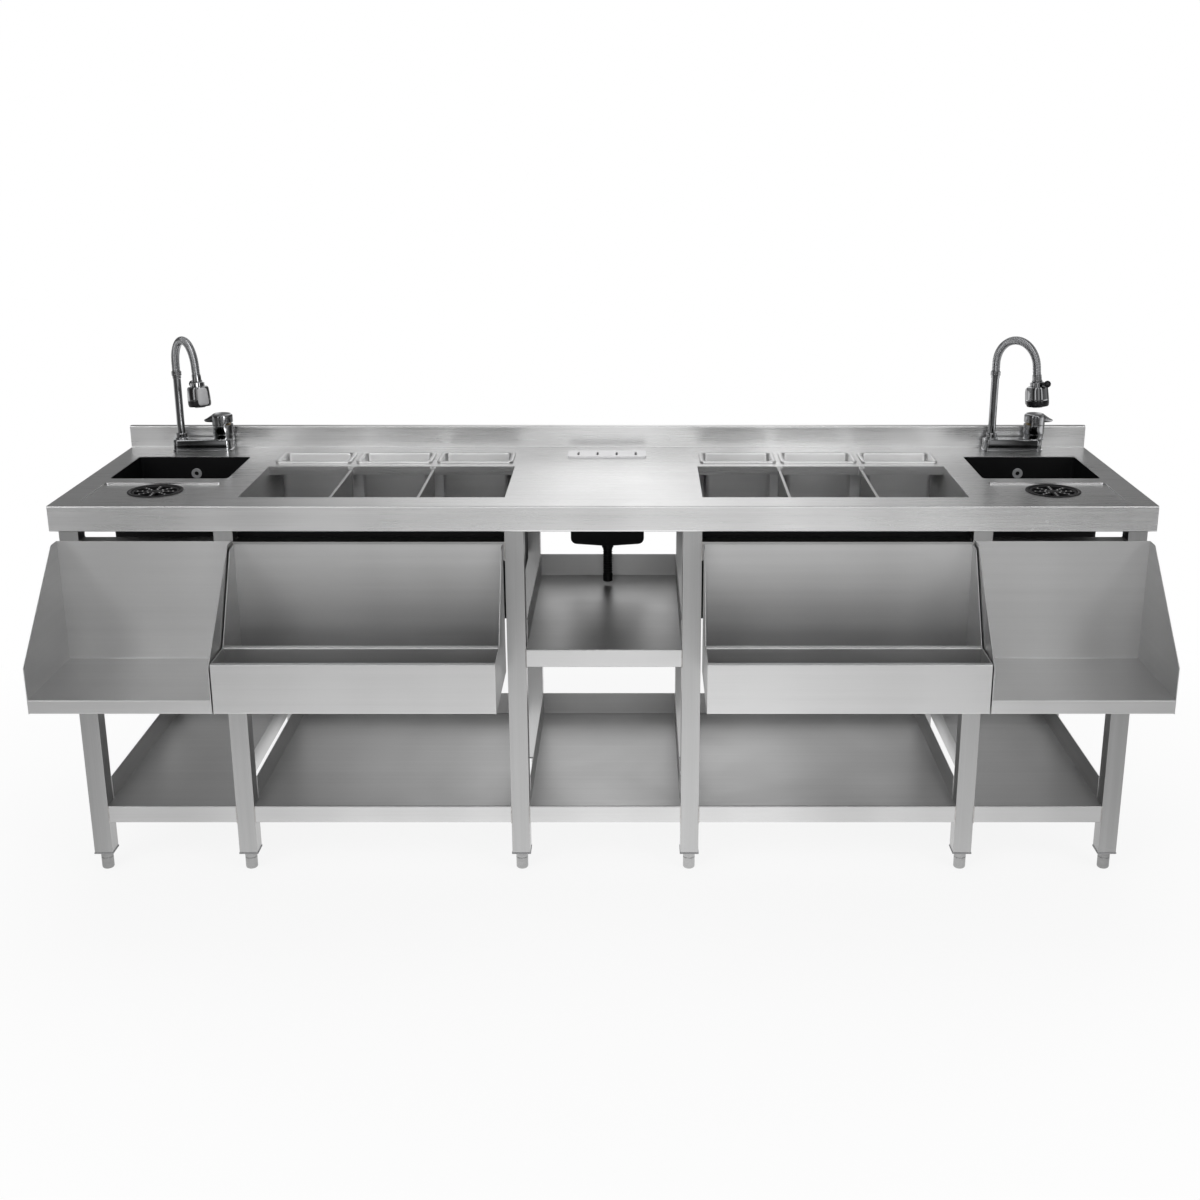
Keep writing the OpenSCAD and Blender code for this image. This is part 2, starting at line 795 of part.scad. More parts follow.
// Glass rinser: cup with a flange on the drainer, a guide for the press plate and a drain spigot.
module rinser_cup(side) {
    translate([side * drainer_x, rinser_y, 0]) difference() {
        union() {
            translate([0, 0, rinser_cup_z]) rod(rinser_cup_r, rinser_depth);
            translate([0, 0, drainer_floor_z]) rod(rinser_r, rinser_lip_h);
            translate([0, rinser_cup_r * half, rinser_cup_z - rinser_tail_l])
                rod(rinser_tail_r, rinser_tail_l);
        }
        difference() {
            translate([0, 0, rinser_cup_z + rinser_wall])
                rod(rinser_cup_r - rinser_wall, rinser_depth + rinser_lip_h);
            translate([0, 0, rinser_cup_z]) rod(rinser_boss_r, rinser_boss_h);
        }
        translate([0, 0, rinser_cup_z + rinser_wall]) rod(rinser_stem_r + run_fit, rinser_boss_h);
        translate([0, rinser_cup_r * half, rinser_cup_z - rinser_tail_l - cut])
            rod(rinser_tail_r - rinser_wall, rinser_tail_l + rinser_wall + 2 * cut);
    }
}

module rinser_cups() {
    color(black) bench() for (side = sides) rinser_cup(side);
}

// Press plate: arms from the boss to the rim, on a stem that slides in the cup's guide.
module rinser_plate(side) {
    r = rinser_cup_r - rinser_wall - rinser_rim_gap;
    z = drainer_floor_z - rinser_plate_t;
    stem_z = rinser_cup_z + rinser_wall + rinser_travel + face_gap;
    color(black) bench() translate([side * drainer_x, rinser_y, 0]) {
        translate([0, 0, z]) difference() {
            rod(r, rinser_plate_t);
            translate([0, 0, -cut]) difference() {
                rod(r - rinser_ring_w, rinser_plate_t + 2 * cut);
                rod(rinser_boss_r, rinser_plate_t + 2 * cut);
                for (a = [0:360 / rinser_arms:179])
                    rotate([0, 0, a]) translate([-r, -rinser_arm_w * half, 0])
                        cube([2 * r, rinser_arm_w, rinser_plate_t + 2 * cut]);
            }
        }
        translate([0, 0, stem_z]) rod(rinser_stem_r, z - stem_z + cut);
    }
}

// Ice well: open box with a drain hole and the guides of its dividers.
module ice_liner(side) {
    low = [side * ice_x - ice_w * half, ice_front, liner_floor_z];
    high = [side * ice_x + ice_w * half, ice_front + liner_l, top_in];
    color(steel) bench() {
        difference() {
            span(low - [sheet, sheet, sheet], high + [sheet, sheet, 0]);
            span(low, high + [0, 0, cut]);
            translate([side * ice_x, ice_front + ice_l * half, liner_floor_z - sheet - cut])
                rod(ice_drain_r + drain_hole_gap, sheet + 2 * cut);
        }
        for (i = [1:compartments - 1])
            divider_guides(side, i, ice_front, ice_front + guide_w, liner_floor_z, divider_top);
    }
}

module ice_jacket(side) {
    low = [side * ice_x - ice_w * half - sheet, ice_front - sheet, liner_floor_z - sheet];
    high = [side * ice_x + ice_w * half + sheet, ice_front + liner_l + sheet, top_in];
    difference() {
        span(low - [jacket_t, jacket_t, jacket_t], high + [jacket_t, jacket_t, 0]);
        span(low, high + [0, 0, cut]);
        translate([side * ice_x, ice_front + ice_l * half, low[2] - jacket_t - cut])
            rod(ice_drain_r + drain_hole_gap, jacket_t + 2 * cut);
    }
}

module ice_jackets() {
    color(black) bench() for (side = sides) ice_jacket(side);
}

// Lift-out divider: a plate with a hemmed top edge and a thick edge at each guide.
module ice_divider(side, i) {
    x = divider_x(side, i);
    y0 = ice_front + divider_clear;
    y1 = ice_front + ice_l - divider_clear;
    z0 = liner_floor_z + face_gap;
    color(steel) bench() {
        span([x - divider_t * half, y0, z0], [x + divider_t * half, y1, divider_top]);
        span([x - divider_hem_w * half, y0, divider_top - divider_hem_h],
            [x + divider_hem_w * half, y1, divider_top]);
        for (y = [y0, y1 - guide_w * half])
            span([x - divider_hem_w * half, y, z0],
                [x + divider_hem_w * half, y + guide_w * half, divider_top]);
    }
}

// Ice drain: a perforated flange on the well's floor and a pipe through the jacket, back to the wall.
module ice_drain(side) {
    y = ice_front + ice_l * half;
    drop = sheet + jacket_t + drain_clear + ice_drain_r;
    back = bench_d - pipe_wall_gap - y;
    translate([side * ice_x, y, liner_floor_z]) difference() {
        union() {
            rod(ice_drain_r + drain_flange_w, drain_flange_h);
            waste_pipe(ice_drain_r, drop, back);
            pipe_socket(ice_drain_r, drop, back);
        }
        waste_pipe(ice_drain_r - drain_wall, drop, back + cut);
        for (a = [0:60:359])
            rotate([0, 0, a]) translate([ice_drain_r * half, 0, -cut])
                rod(drain_wall, drain_flange_h + 2 * cut);
        translate([0, 0, -cut]) rod(drain_wall, drain_flange_h + 2 * cut);
    }
}

module ice_drains() {
    color(chrome) bench() for (side = sides) ice_drain(side);
}

// Garnish pan: rim with a turned-down edge, stacking shoulder and a narrower body.
module garnish_pan(side, i) {
    low_w = pan_body_w - 2 * pan_shoulder_w;
    low_l = pan_body_l - 2 * pan_shoulder_w;
    r = pan_corner_r;
    color(steel) bench() translate([pan_x(side, i), pan_front + pan_l * half, bench_h]) difference() {
        union() {
            translate([-pan_w * half, -pan_l * half, 0]) rounded_box([pan_w, pan_l, pan_rim_h], r);
            translate([-pan_body_w * half, -pan_body_l * half, -pan_shoulder_h])
                rounded_box([pan_body_w, pan_body_l, pan_shoulder_h + pan_t], r);
            translate([-low_w * half, -low_l * half, pan_rim_h - pan_depth])
                rounded_box([low_w, low_l, pan_depth - pan_rim_h], r);
        }
        translate([-low_w * half + pan_t, -low_l * half + pan_t, pan_rim_h - pan_depth + pan_t])
            rounded_box([low_w - 2 * pan_t, low_l - 2 * pan_t, pan_depth + cut], r - pan_t);
        translate([-pan_body_w * half + pan_t, -pan_body_l * half + pan_t, pan_t - pan_shoulder_h])
            rounded_box([pan_body_w - 2 * pan_t, pan_body_l - 2 * pan_t, pan_shoulder_h + pan_rim_h],
                r - pan_t);
        difference() {
            translate([-pan_w * half + pan_t, -pan_l * half + pan_t, -cut])
                rounded_box([pan_w - 2 * pan_t, pan_l - 2 * pan_t, pan_rim_h - pan_t + cut], r - pan_t);
            translate([-pan_body_w * half, -pan_body_l * half, -2 * cut])
                rounded_box([pan_body_w, pan_body_l, pan_rim_h + 2 * cut], r);
        }
    }
}

// Knife plate: a slotted lid with a skirt that drops into the worktop's opening.
module knife_plate() {
    skirt = knife_clear + knife_well_inset * half + knife_wall + knife_fit;
    skirt_w = knife_w - 2 * skirt;
    skirt_l = knife_l - 2 * skirt;
    r = knife_corner_r - knife_clear;
    color(white) bench() translate([-knife_w * half, knife_front, bench_h]) difference() {
        union() {
            rounded_box([knife_w, knife_l, knife_plate_h], knife_corner_r);
            translate([skirt, skirt, -knife_skirt_h]) rounded_box([skirt_w, skirt_l, knife_skirt_h], r);
        }
        translate([skirt + knife_wall, skirt + knife_wall, -knife_skirt_h - cut])
            rounded_box([skirt_w - 2 * knife_wall, skirt_l - 2 * knife_wall, knife_skirt_h + cut],
                r - knife_wall);
        for (i = [0:knife_slots - 1]) {
            x = knife_w * half + (i - (knife_slots - 1) * half) * knife_slot_pitch;
            translate([x - knife_slot_w * half, (knife_l - knife_slot_l) * half, -cut])
                cube([knife_slot_w, knife_slot_l, knife_plate_h + 2 * cut]);
        }
    }
}

// Outline of the knife well seen from the front: round lower corners and a floor that falls to its middle.
function well_outline(inset, top) =
    let (
        w = knife_w * half - knife_clear - knife_well_inset * half - inset,
        z = bench_h - knife_depth + inset,
        fall = knife_fall_h
    )
    concat([[-w, top]],
        arc_corner([-w, top], [-w, z + fall], [-hose_nut_r, z], knife_well_r - inset),
        [[-hose_nut_r, z], [hose_nut_r, z]],
        arc_corner([hose_nut_r, z], [w, z + fall], [w, top], knife_well_r - inset),
        [[w, top]]);

module knife_well() {
    y0 = knife_front + knife_clear - knife_wall;
    y1 = knife_front + knife_l - knife_clear + knife_wall;
    color(black) bench() difference() {
        along_y(y0, y1) polygon(well_outline(0, top_in));
        along_y(y0 + knife_wall, y1 - knife_wall) polygon(well_outline(knife_wall, top_in + cut));
        translate([0, knife_front + knife_l * half, bench_h - knife_depth - cut])
            rod(hose_d * half - hose_wall, knife_wall + knife_fall_h + cut);
    }
}

// Drain hose of the knife well: a nut, a ribbed neck and a plain end.
module drain_hose() {
    r = hose_d * half;
    z1 = bench_h - knife_depth;
    z0 = mid_shelf_z + hose_shelf_gap;
    nut_z = z1 - hose_nut_h;
    ribs = floor((nut_z - z0 - 2 * hose_neck_l) / hose_rib_pitch);
    outer = concat(
        [[r - hose_wall, z1], [hose_nut_r, z1], [hose_nut_r, nut_z], [r, nut_z]],
        [for (i = [0:ribs - 1])
            let (z = nut_z - hose_neck_l * half - i * hose_rib_pitch)
            each [[r, z], [r - hose_rib_h, z - hose_rib_pitch + hose_land_l],
                [r - hose_rib_h, z - hose_land_l]]],
        [[r, nut_z - hose_neck_l * half - ribs * hose_rib_pitch], [r, z0], [r - hose_wall, z0]]);
    color(black) bench() translate([0, knife_front + knife_l * half, 0])
        rotate_extrude($fn = ring_steps) polygon(outer);
}

// Deck mixer body: bar with round ends, lever pillar, spout pillar with its nut, and two shanks.
module tap_body(side) {
    translate([side * sink_x, tap_y, body_z]) {
        difference() {
            union() {
                translate([-tap_body_w * half, -tap_body_d * half, 0])
                    rounded_box([tap_body_w, tap_body_d, tap_bar_h - edge_r], body_corner_r);
                translate([-tap_body_w * half + edge_r, -tap_body_d * half + edge_r, 0])
                    rounded_box([tap_body_w - 2 * edge_r, tap_body_d - 2 * edge_r, tap_bar_h],
                        body_corner_r - edge_r);
                translate([tap_pitch * half, 0, 0]) rod(pillar_r - edge_r * half, pillar_h - edge_r);
                translate([tap_pitch * half, 0, pillar_h - cartridge_h]) rod(pillar_r, cartridge_h);
                translate([-tap_pitch * half, 0, 0]) rod(spout_pillar_r, tap_bar_h + edge_r);
                translate([-tap_pitch * half, 0, 0]) rod(spout_nut_r, tap_bar_h + spout_nut_h);
                for (s = sides) translate([s * tap_pitch * half, 0, -shank_l]) rod(shank_r, shank_l + cut);
                for (s = sides)
                    translate([s * tap_pitch * half, 0, -sheet - shank_nut_h]) rod(shank_nut_r, shank_nut_h);
            }
            translate([-tap_pitch * half, 0, tap_bar_h - socket_depth])
                rod(riser_r + run_fit, socket_depth + spout_nut_h + cut);
            translate([tap_pitch * half, 0, pillar_h - cartridge_h])
                rod(cartridge_r + run_fit, cartridge_h + cut);
            for (s = sides)
                translate([s * tap_pitch * half, 0, -shank_l - cut]) rod(shank_r - shank_wall, shank_l);
        }
    }
}

module tap_bodies() {
    color(chrome) bench() for (side = sides) tap_body(side);
}

// Frame of a lever: origin on its axis at the worktop, nose towards +X.
module at_lever(side) {
    translate([side * sink_x + tap_pitch * half, tap_y, body_z])
        rotate([0, 0, side < 0 ? 180 : 0]) children();
}

// Cartridge: turns in the pillar and carries the lever's pivot pin between its ears.
module cartridge(side) {
    z = pillar_h - cartridge_h + cartridge_neck_gap;
    color(shade_steel) bench() at_lever(side) {
        translate([0, 0, z]) rod(cartridge_r, pillar_h + cartridge_rise - z);
        translate([pivot_x - ear_w * half, -ear_l * half, pillar_h + face_gap])
            cube([ear_w, ear_l, pivot_h + ear_h * half - face_gap]);
        translate([pivot_x, 0, pillar_h + pivot_h]) rotate([90, 0, 0])
            translate([0, 0, -pivot_half_l]) rod(pivot_r, 2 * pivot_half_l);
    }
}

// Side and top outlines of the lever's nose.
module nose_side() {
    top = pillar_h + cap_h;
    polygon([
        [0, pillar_h + cap_relief_h], [lever_reach - lever_tip_t, top - lever_tip_drop - lever_tip_t],
        [lever_reach, top - lever_tip_drop - lever_tip_t * half], [lever_reach, top - lever_tip_drop],
        [pillar_r, top - cap_round_r * half], [0, top - sheet]
    ]);
}

module nose_top() {
    polygon([
        [0, -lever_root_w * half], [0, lever_root_w * half], [lever_reach - lever_tip_t, lever_tip_w * half],
        [lever_reach, lever_end_w * half], [lever_reach, -lever_end_w * half],
        [lever_reach - lever_tip_t, -lever_tip_w * half]
    ]);
}

// Lever: a domed cap over the cartridge, with a nose to hold; it tips about the cartridge's pin.
module lever(side) {
    top = pillar_h + cap_h;
    low = pillar_h + face_gap;
    color(chrome) bench() at_lever(side) difference() {
        union() {
            rotate_extrude($fn = ring_steps) polygon(concat(
                [[0, low], [pillar_r, low]],
                [for (a = [0:15:90]) [pillar_r - cap_round_r + cap_round_r * cos(a),
                    top - cap_round_r + cap_round_r * sin(a)]],
                [[0, top]]));
            intersection() {
                along_y(-pillar_r, pillar_r) nose_side();
                linear_extrude(top + cut) nose_top();
            }
        }
        translate([0, 0, pillar_h - cut]) rod(pillar_r - cap_wall, cap_h + cut - cap_wall);
        translate([pivot_x, 0, pillar_h + pivot_h]) rotate([90, 0, 0])
            translate([0, 0, -pivot_half_l - face_gap]) rod(pivot_r + run_fit, 2 * (pivot_half_l + face_gap));
        span([-pillar_r - cut, -pillar_r - cut, pillar_h - cut],
            [cap_relief_x, pillar_r + cut, pillar_h + cap_relief_h]);
    }
}

// Frame of a spout: origin on the riser's axis at the worktop, gooseneck bending towards +X.
module at_spout(side) {
    translate([side * sink_x - tap_pitch * half, tap_y, body_z]) rotate([0, 0, spout_turn]) children();
}

// Point and direction of the gooseneck's middle line, s along it from the riser's collar.
function neck_point(s) =
    s < neck_straight ? [0, 0, s]
    : s < neck_straight + neck_arc_l ?
        let (a = 180 - (s - neck_straight) / neck_arc_l * neck_sweep)
        [neck_r + neck_r * cos(a), 0, neck_straight + neck_r * sin(a)]
    : [neck_r + neck_r * cos(neck_tilt), 0, neck_straight + neck_r * sin(neck_tilt)]
        + (s - neck_straight - neck_arc_l) * [sin(neck_tilt), 0, -cos(neck_tilt)];
function neck_lean(s) =
    s < neck_straight ? 0
    : s < neck_straight + neck_arc_l ? (s - neck_straight) / neck_arc_l * neck_sweep : neck_sweep;
function neck_ring(s, r) =
    let (lean = neck_lean(s), across = [cos(lean), 0, -sin(lean)])
    [for (i = [0:neck_sides - 1])
        neck_point(s) + across * r * cos(360 * i / neck_sides) + [0, r * sin(360 * i / neck_sides), 0]];

// Swept tube wall: outer rings with ribs, inner rings for the bore, and the two end faces.
module ribbed_hose() {
    plain = neck_hose_r;
    quarter = half * half;
    pitch = (neck_l - 2 * plain) / neck_ribs;
    rib_marks = [for (i = [0:neck_ribs - 1]) each [
        [plain + (i + quarter) * pitch, neck_root_r], [plain + (i + half + quarter) * pitch, neck_hose_r]]];
    outer = concat([[0, neck_hose_r]], rib_marks, [[neck_l, neck_hose_r]]);
    bore_steps = 24;
    inner = [for (i = [0:bore_steps]) [neck_l * i / bore_steps, neck_bore_r]];
    points = [for (m = concat(outer, inner)) each neck_ring(m[0], m[1])];
    n = neck_sides;
    first_in = len(outer) * n;
    last_out = (len(outer) - 1) * n;
    last_in = first_in + bore_steps * n;
    skin = [for (k = [0:len(outer) - 2], i = [0:n - 1])
        let (a = k * n + i, b = k * n + (i + 1) % n) each [[a, a + n, b], [b, a + n, b + n]]];
    bore = [for (k = [0:bore_steps - 1], i = [0:n - 1])
        let (a = first_in + k * n + i, b = first_in + k * n + (i + 1) % n)
        each [[a, b, a + n], [b, b + n, a + n]]];
    ends = [for (i = [0:n - 1])
        let (j = (i + 1) % n)
        each [[i, j, first_in + i], [j, first_in + j, first_in + i],
            [last_out + i, last_in + i, last_out + j], [last_out + j, last_in + i, last_in + j]]];
    echo(least_gap_between_ribs = pitch * half * (neck_r - neck_hose_r) / neck_r);
    polyhedron(points, concat(skin, bore, ends));
}

module gooseneck(side) {
    color(chrome) bench() at_spout(side) translate([0, 0, riser_h]) ribbed_hose();
}

// Frame of the spray head: origin at the gooseneck's end, water leaving towards -Z.
module at_spray(side) {
    at_spout(side) translate([0, 0, riser_h] + neck_point(neck_l)) rotate([0, -neck_tilt, 0]) children();
}

module spout(side) {
    z0 = tap_bar_h - socket_depth + face_gap;
    color(chrome) bench() {
        at_spout(side) difference() {
            union() {
                translate([0, 0, z0]) rod(riser_r, riser_h - z0);
                translate([0, 0, riser_h - collar_h]) rod(collar_r, collar_h);
                translate([0, 0, riser_h - 2 * collar_h + edge_r]) rod(collar_r - sheet, collar_h);
            }
            translate([0, 0, z0 - cut]) rod(riser_r - riser_wall, riser_h - z0 + 2 * cut);
        }
        at_spray(side) difference() {
            union() {
                translate([0, 0, -ferrule_l]) rod(ferrule_r, ferrule_l);
                translate([0, 0, -ferrule_l]) rod(ferrule_r + sheet, sheet * 2);
                translate([0, 0, -ferrule_l - stub_l]) rod(stub_r, stub_l + cut);
            }
            translate([0, 0, -ferrule_l - stub_l - cut]) rod(stub_r - sheet, ferrule_l + stub_l + 2 * cut);
        }
    }
}

// Curved plate that the thumb presses, down one side of the spray head.
module paddle(side, z0, z1) {
    rotate([0, 0, side < 0 ? 0 : 180]) intersection() {
        translate([0, 0, z0]) difference() {
            rod(spray_r + paddle_t, z1 - z0);
            translate([0, 0, -cut]) rod(spray_r - 2 * paddle_t, z1 - z0 + 2 * cut);
        }
        span([0, -paddle_w * half, z0], [spray_r + paddle_t, paddle_w * half, z1]);
    }
}

// Spray head: collar on the ferrule's stub, bell body, ring, nozzle and paddle; its collar takes the knob.
module spray_head(side) {
    body_z0 = spray_top - spray_neck_l - spray_body_l;
    ring_z0 = body_z0 - spray_ring_l;
    color(chrome) bench() at_spray(side) difference() {
        union() {
            rotate_extrude($fn = ring_steps) polygon([
                [0, spray_top], [spray_neck_r - edge_r, spray_top], [spray_neck_r, spray_top - edge_r],
                [spray_neck_r, spray_top - spray_neck_l], [spray_r - edge_r, spray_top - spray_neck_l],
                [spray_r - edge_r * half, spray_top - spray_neck_l - edge_r], [spray_r, body_z0],
                [spray_r, body_z0 - edge_r * half], [spray_r - sheet, ring_z0], [nozzle_r, ring_z0],
                [nozzle_r - sheet, ring_z0 - nozzle_l], [0, ring_z0 - nozzle_l]
            ]);
            paddle(side, ring_z0 + edge_r, spray_top - spray_neck_l - edge_r);
        }
        translate([0, 0, spray_top - stub_l - face_gap]) rod(stub_r + run_fit, stub_l + face_gap + cut);
        translate([0, 0, knob_z]) rotate([0, side * 90, 0])
            translate([0, 0, spray_neck_r - knob_bore_l]) rod(knob_stem_r + run_fit, knob_bore_l + cut);
    }
}

// Diverter knob: a ball on a stem that turns in the spray head's collar.
module diverter_knob(side) {
    stem_z = spray_neck_r - knob_bore_l + face_gap;
    color(black) bench() at_spray(side) translate([0, 0, knob_z]) rotate([0, side * 90, 0]) {
        translate([0, 0, stem_z]) rod(knob_stem_r, knob_reach - stem_z);
        translate([0, 0, knob_reach]) sphere(knob_r, $fn = ring_steps);
    }
}

legs();
frame_rails();
worktop();
end_shelves();
ice_bay_shelves();
centre_shelf();
mid_shelf();
bottle_dividers();
waste_kits();
rinser_cups();
ice_jackets();
ice_drains();
knife_plate();
knife_well();
drain_hose();
tap_bodies();
for (i = [0:len(leg_xs) - 1]) {
    foot(i, 0);
    foot(i, 1);
}
for (s = [0, 1]) {
    speed_rail(sides[s]);
    blender_shelf(sides[s]);
    sink_bowl(sides[s]);
    rinser_plate(sides[s]);
    ice_liner(sides[s]);
    cartridge(sides[s]);
    lever(sides[s]);
    spout(sides[s]);
    gooseneck(sides[s]);
    spray_head(sides[s]);
    diverter_knob(sides[s]);
    for (i = [1, 2]) ice_divider(sides[s], i);
    for (i = [0, 1, 2])
        garnish_pan(sides[s], i);
}
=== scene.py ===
import json
import math

import bmesh
import bpy
from mathutils import Matrix, Vector

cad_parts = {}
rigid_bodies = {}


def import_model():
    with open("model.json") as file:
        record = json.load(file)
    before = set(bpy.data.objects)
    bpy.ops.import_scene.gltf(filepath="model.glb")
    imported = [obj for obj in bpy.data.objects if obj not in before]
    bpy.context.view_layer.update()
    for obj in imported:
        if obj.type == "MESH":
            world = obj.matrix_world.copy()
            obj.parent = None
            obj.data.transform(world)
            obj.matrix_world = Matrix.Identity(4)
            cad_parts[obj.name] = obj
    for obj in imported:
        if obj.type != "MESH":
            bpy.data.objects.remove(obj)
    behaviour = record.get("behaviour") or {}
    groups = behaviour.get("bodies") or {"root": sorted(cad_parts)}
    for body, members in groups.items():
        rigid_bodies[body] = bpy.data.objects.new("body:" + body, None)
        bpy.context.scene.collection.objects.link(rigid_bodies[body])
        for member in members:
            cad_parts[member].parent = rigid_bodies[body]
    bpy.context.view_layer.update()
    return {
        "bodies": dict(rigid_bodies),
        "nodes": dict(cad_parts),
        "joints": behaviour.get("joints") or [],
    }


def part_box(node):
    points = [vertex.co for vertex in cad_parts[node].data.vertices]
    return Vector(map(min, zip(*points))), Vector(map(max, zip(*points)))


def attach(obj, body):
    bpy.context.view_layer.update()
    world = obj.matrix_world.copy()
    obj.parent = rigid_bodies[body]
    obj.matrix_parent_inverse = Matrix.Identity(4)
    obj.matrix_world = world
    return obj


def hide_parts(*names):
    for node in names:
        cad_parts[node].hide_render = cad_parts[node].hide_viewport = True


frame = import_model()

scene = bpy.context.scene
nodes = frame["nodes"]
jointPlace = {joint["name"]: Vector(joint["pos_m"]) for joint in frame["joints"]}
mm = 0.001
sides = {"left": -1, "right": 1}


# camera at the photograph's angle: three metres in front of the worktop and well above it
cameraView = {"place": (0.071, -3.369, 1.647), "lookDown": 17.52, "lens": 47.6, "shift": -0.031}


def makeCamera(view):
    data = bpy.data.cameras.new("camera")
    data.sensor_width = 36
    data.lens = view["lens"]
    data.shift_x = view["shift"]
    data.clip_end = 100
    camera = bpy.data.objects.new("camera", data)
    scene.collection.objects.link(camera)
    camera.location = view["place"]
    camera.rotation_euler = (math.radians(90 - view["lookDown"]), 0, 0)
    scene.camera = camera


makeCamera(cameraView)
scene.view_settings.view_transform = "Standard"


# node helpers: a value that is a socket is linked, any other is set on the input
def addNode(tree, kind, values=None, **settings):
    node = tree.nodes.new(kind)
    for key, value in settings.items():
        setattr(node, key, value)
    for key, value in (values or {}).items():
        if isinstance(value, bpy.types.NodeSocket):
            tree.links.new(value, node.inputs[key])
        else:
            node.inputs[key].default_value = value
    return node


def made(tree, kind, values=None, **settings):
    return addNode(tree, kind, values, **settings).outputs[0]


def vector(tree, x=0.0, y=0.0, z=0.0):
    return made(tree, "ShaderNodeCombineXYZ", {0: x, 1: y, 2: z})


def scaled(tree, value, factors):
    return made(tree, "ShaderNodeVectorMath", {0: value, 1: factors}, operation="MULTIPLY")


def maths(tree, operation, *values, clamp=False):
    return made(tree, "ShaderNodeMath", dict(enumerate(values)), operation=operation, use_clamp=clamp)


def times(tree, first, second):
    return maths(tree, "MULTIPLY", first, second)


def plus(tree, first, second, clamp=False):
    return maths(tree, "ADD", first, second, clamp=clamp)


def distance(tree, first, second):
    return maths(tree, "ABSOLUTE", maths(tree, "SUBTRACT", first, second))


def largest(tree, first, second):
    return maths(tree, "MAXIMUM", first, second)


def spread(tree, value, low, high, toLow, toHigh):
    return made(tree, "ShaderNodeMapRange", {0: value, 1: low, 2: high, 3: toLow, 4: toHigh})


def mixColour(tree, share, first, second):
    node = addNode(tree, "ShaderNodeMix", {0: share}, data_type="RGBA")
    for index, value in ((6, first), (7, second)):
        if isinstance(value, bpy.types.NodeSocket):
            tree.links.new(value, node.inputs[index])
        else:
            node.inputs[index].default_value = (*value, 1)
    return node.outputs[2]


def mixVector(tree, share, first, second):
    return addNode(tree, "ShaderNodeMix", {0: share, 4: first, 5: second}, data_type="VECTOR").outputs[1]


def grey(value, warmth=0.0):
    return (value * (1 + warmth), value, value * (1 - warmth))


# soft studio: the camera sees white, metal mirrors pale and dark bands, and plain grey lights the object
studio = {
    "diffuseGrey": 0.5, "sideGrey": 0.18, "bandIn": 0.0, "bandOut": 0.25, "backLevel": 1.25,
    "frontGrey": 0.1, "frontFade": -0.25, "core": 0.4, "stripPlace": 0.55, "stripWidth": 0.14,
    "stripLevel": 2.8, "middleWidth": 0.26, "middleLevel": 1.3,
    "floorHalf": 14, "floorDiffuse": 0.9, "floorShadow": 0.14, "shadowReach": 2.2, "shadowCore": 0.5,
    "floorBandIn": 0.3, "floorBandOut": 1.7, "floorLevel": 1.3, "floorSide": 0.42,
    "blotchStretch": (1.7, 0.35, 1.0), "blotchDark": 0.42, "blotchPale": 0.6, "blotchLow": 0.3,
    "blotchFrom": -1.3, "blotchTo": -1.9,
    "lamps": [
        {"name": "keyLamp", "place": (-2.4, -3.4, 3.6), "aim": (0, 0, 0.6), "size": 2.6, "power": 62},
        {"name": "fillLamp", "place": (2.9, -2.6, 2.6), "aim": (0, 0, 0.6), "size": 2.2, "power": 34},
        {"name": "topLamp", "place": (0.1, 1.3, 3.9), "aim": (0, 0, 0.8), "size": 2.8, "power": 34},
    ],
}


def lightWorld(look):
    world = bpy.data.worlds.new("studio")
    scene.world = world
    world.use_nodes = True
    tree = world.node_tree
    tree.nodes.clear()
    direction = addNode(tree, "ShaderNodeSeparateXYZ",
        {0: addNode(tree, "ShaderNodeTexCoord").outputs["Generated"]})
    squares = [maths(tree, "POWER", direction.outputs[axis], 2.0) for axis in (0, 1)]
    flat = maths(tree, "SQRT", plus(tree, *squares))
    sideways = maths(tree, "DIVIDE", maths(tree, "ABSOLUTE", direction.outputs[0]), largest(tree, flat, 0.01))
    back = spread(tree, sideways, look["bandIn"], look["bandOut"], look["backLevel"], look["sideGrey"])
    offStrip = distance(tree, sideways, look["stripPlace"])
    front, stripWidth, middleWidth = look["frontGrey"], look["stripWidth"], look["middleWidth"]
    strip = spread(tree, offStrip, stripWidth * look["core"], stripWidth, look["stripLevel"], front)
    middle = spread(tree, sideways, middleWidth * look["core"], middleWidth, look["middleLevel"], front)
    forward = spread(tree, direction.outputs[1], 0.0, look["frontFade"], 0.0, 1.0)
    band = made(tree, "ShaderNodeMix", {0: forward, 2: back, 3: largest(tree, strip, middle)})
    path = addNode(tree, "ShaderNodeLightPath")
    seen = largest(tree, path.outputs["Is Camera Ray"], path.outputs["Is Transmission Ray"])
    reflected = largest(tree, seen, path.outputs["Is Glossy Ray"])
    level = made(tree, "ShaderNodeMix", {0: seen, 2: band, 3: 1.0})
    strength = made(tree, "ShaderNodeMix", {0: reflected, 2: look["diffuseGrey"], 3: level})
    background = addNode(tree, "ShaderNodeBackground", {"Color": (1, 1, 1, 1), "Strength": strength})
    addNode(tree, "ShaderNodeOutputWorld", {"Surface": background.outputs[0]})


def hangLamps(look):
    for lamp in look["lamps"]:
        data = bpy.data.lights.new(lamp["name"], "AREA")
        data.size = lamp["size"]
        data.energy = lamp["power"]
        light = bpy.data.objects.new(lamp["name"], data)
        light.visible_glossy = False
        scene.collection.objects.link(light)
        light.location = lamp["place"]
        towards = Vector(lamp["aim"]) - Vector(lamp["place"])
        light.rotation_euler = towards.to_track_quat("-Z", "Y").to_euler()


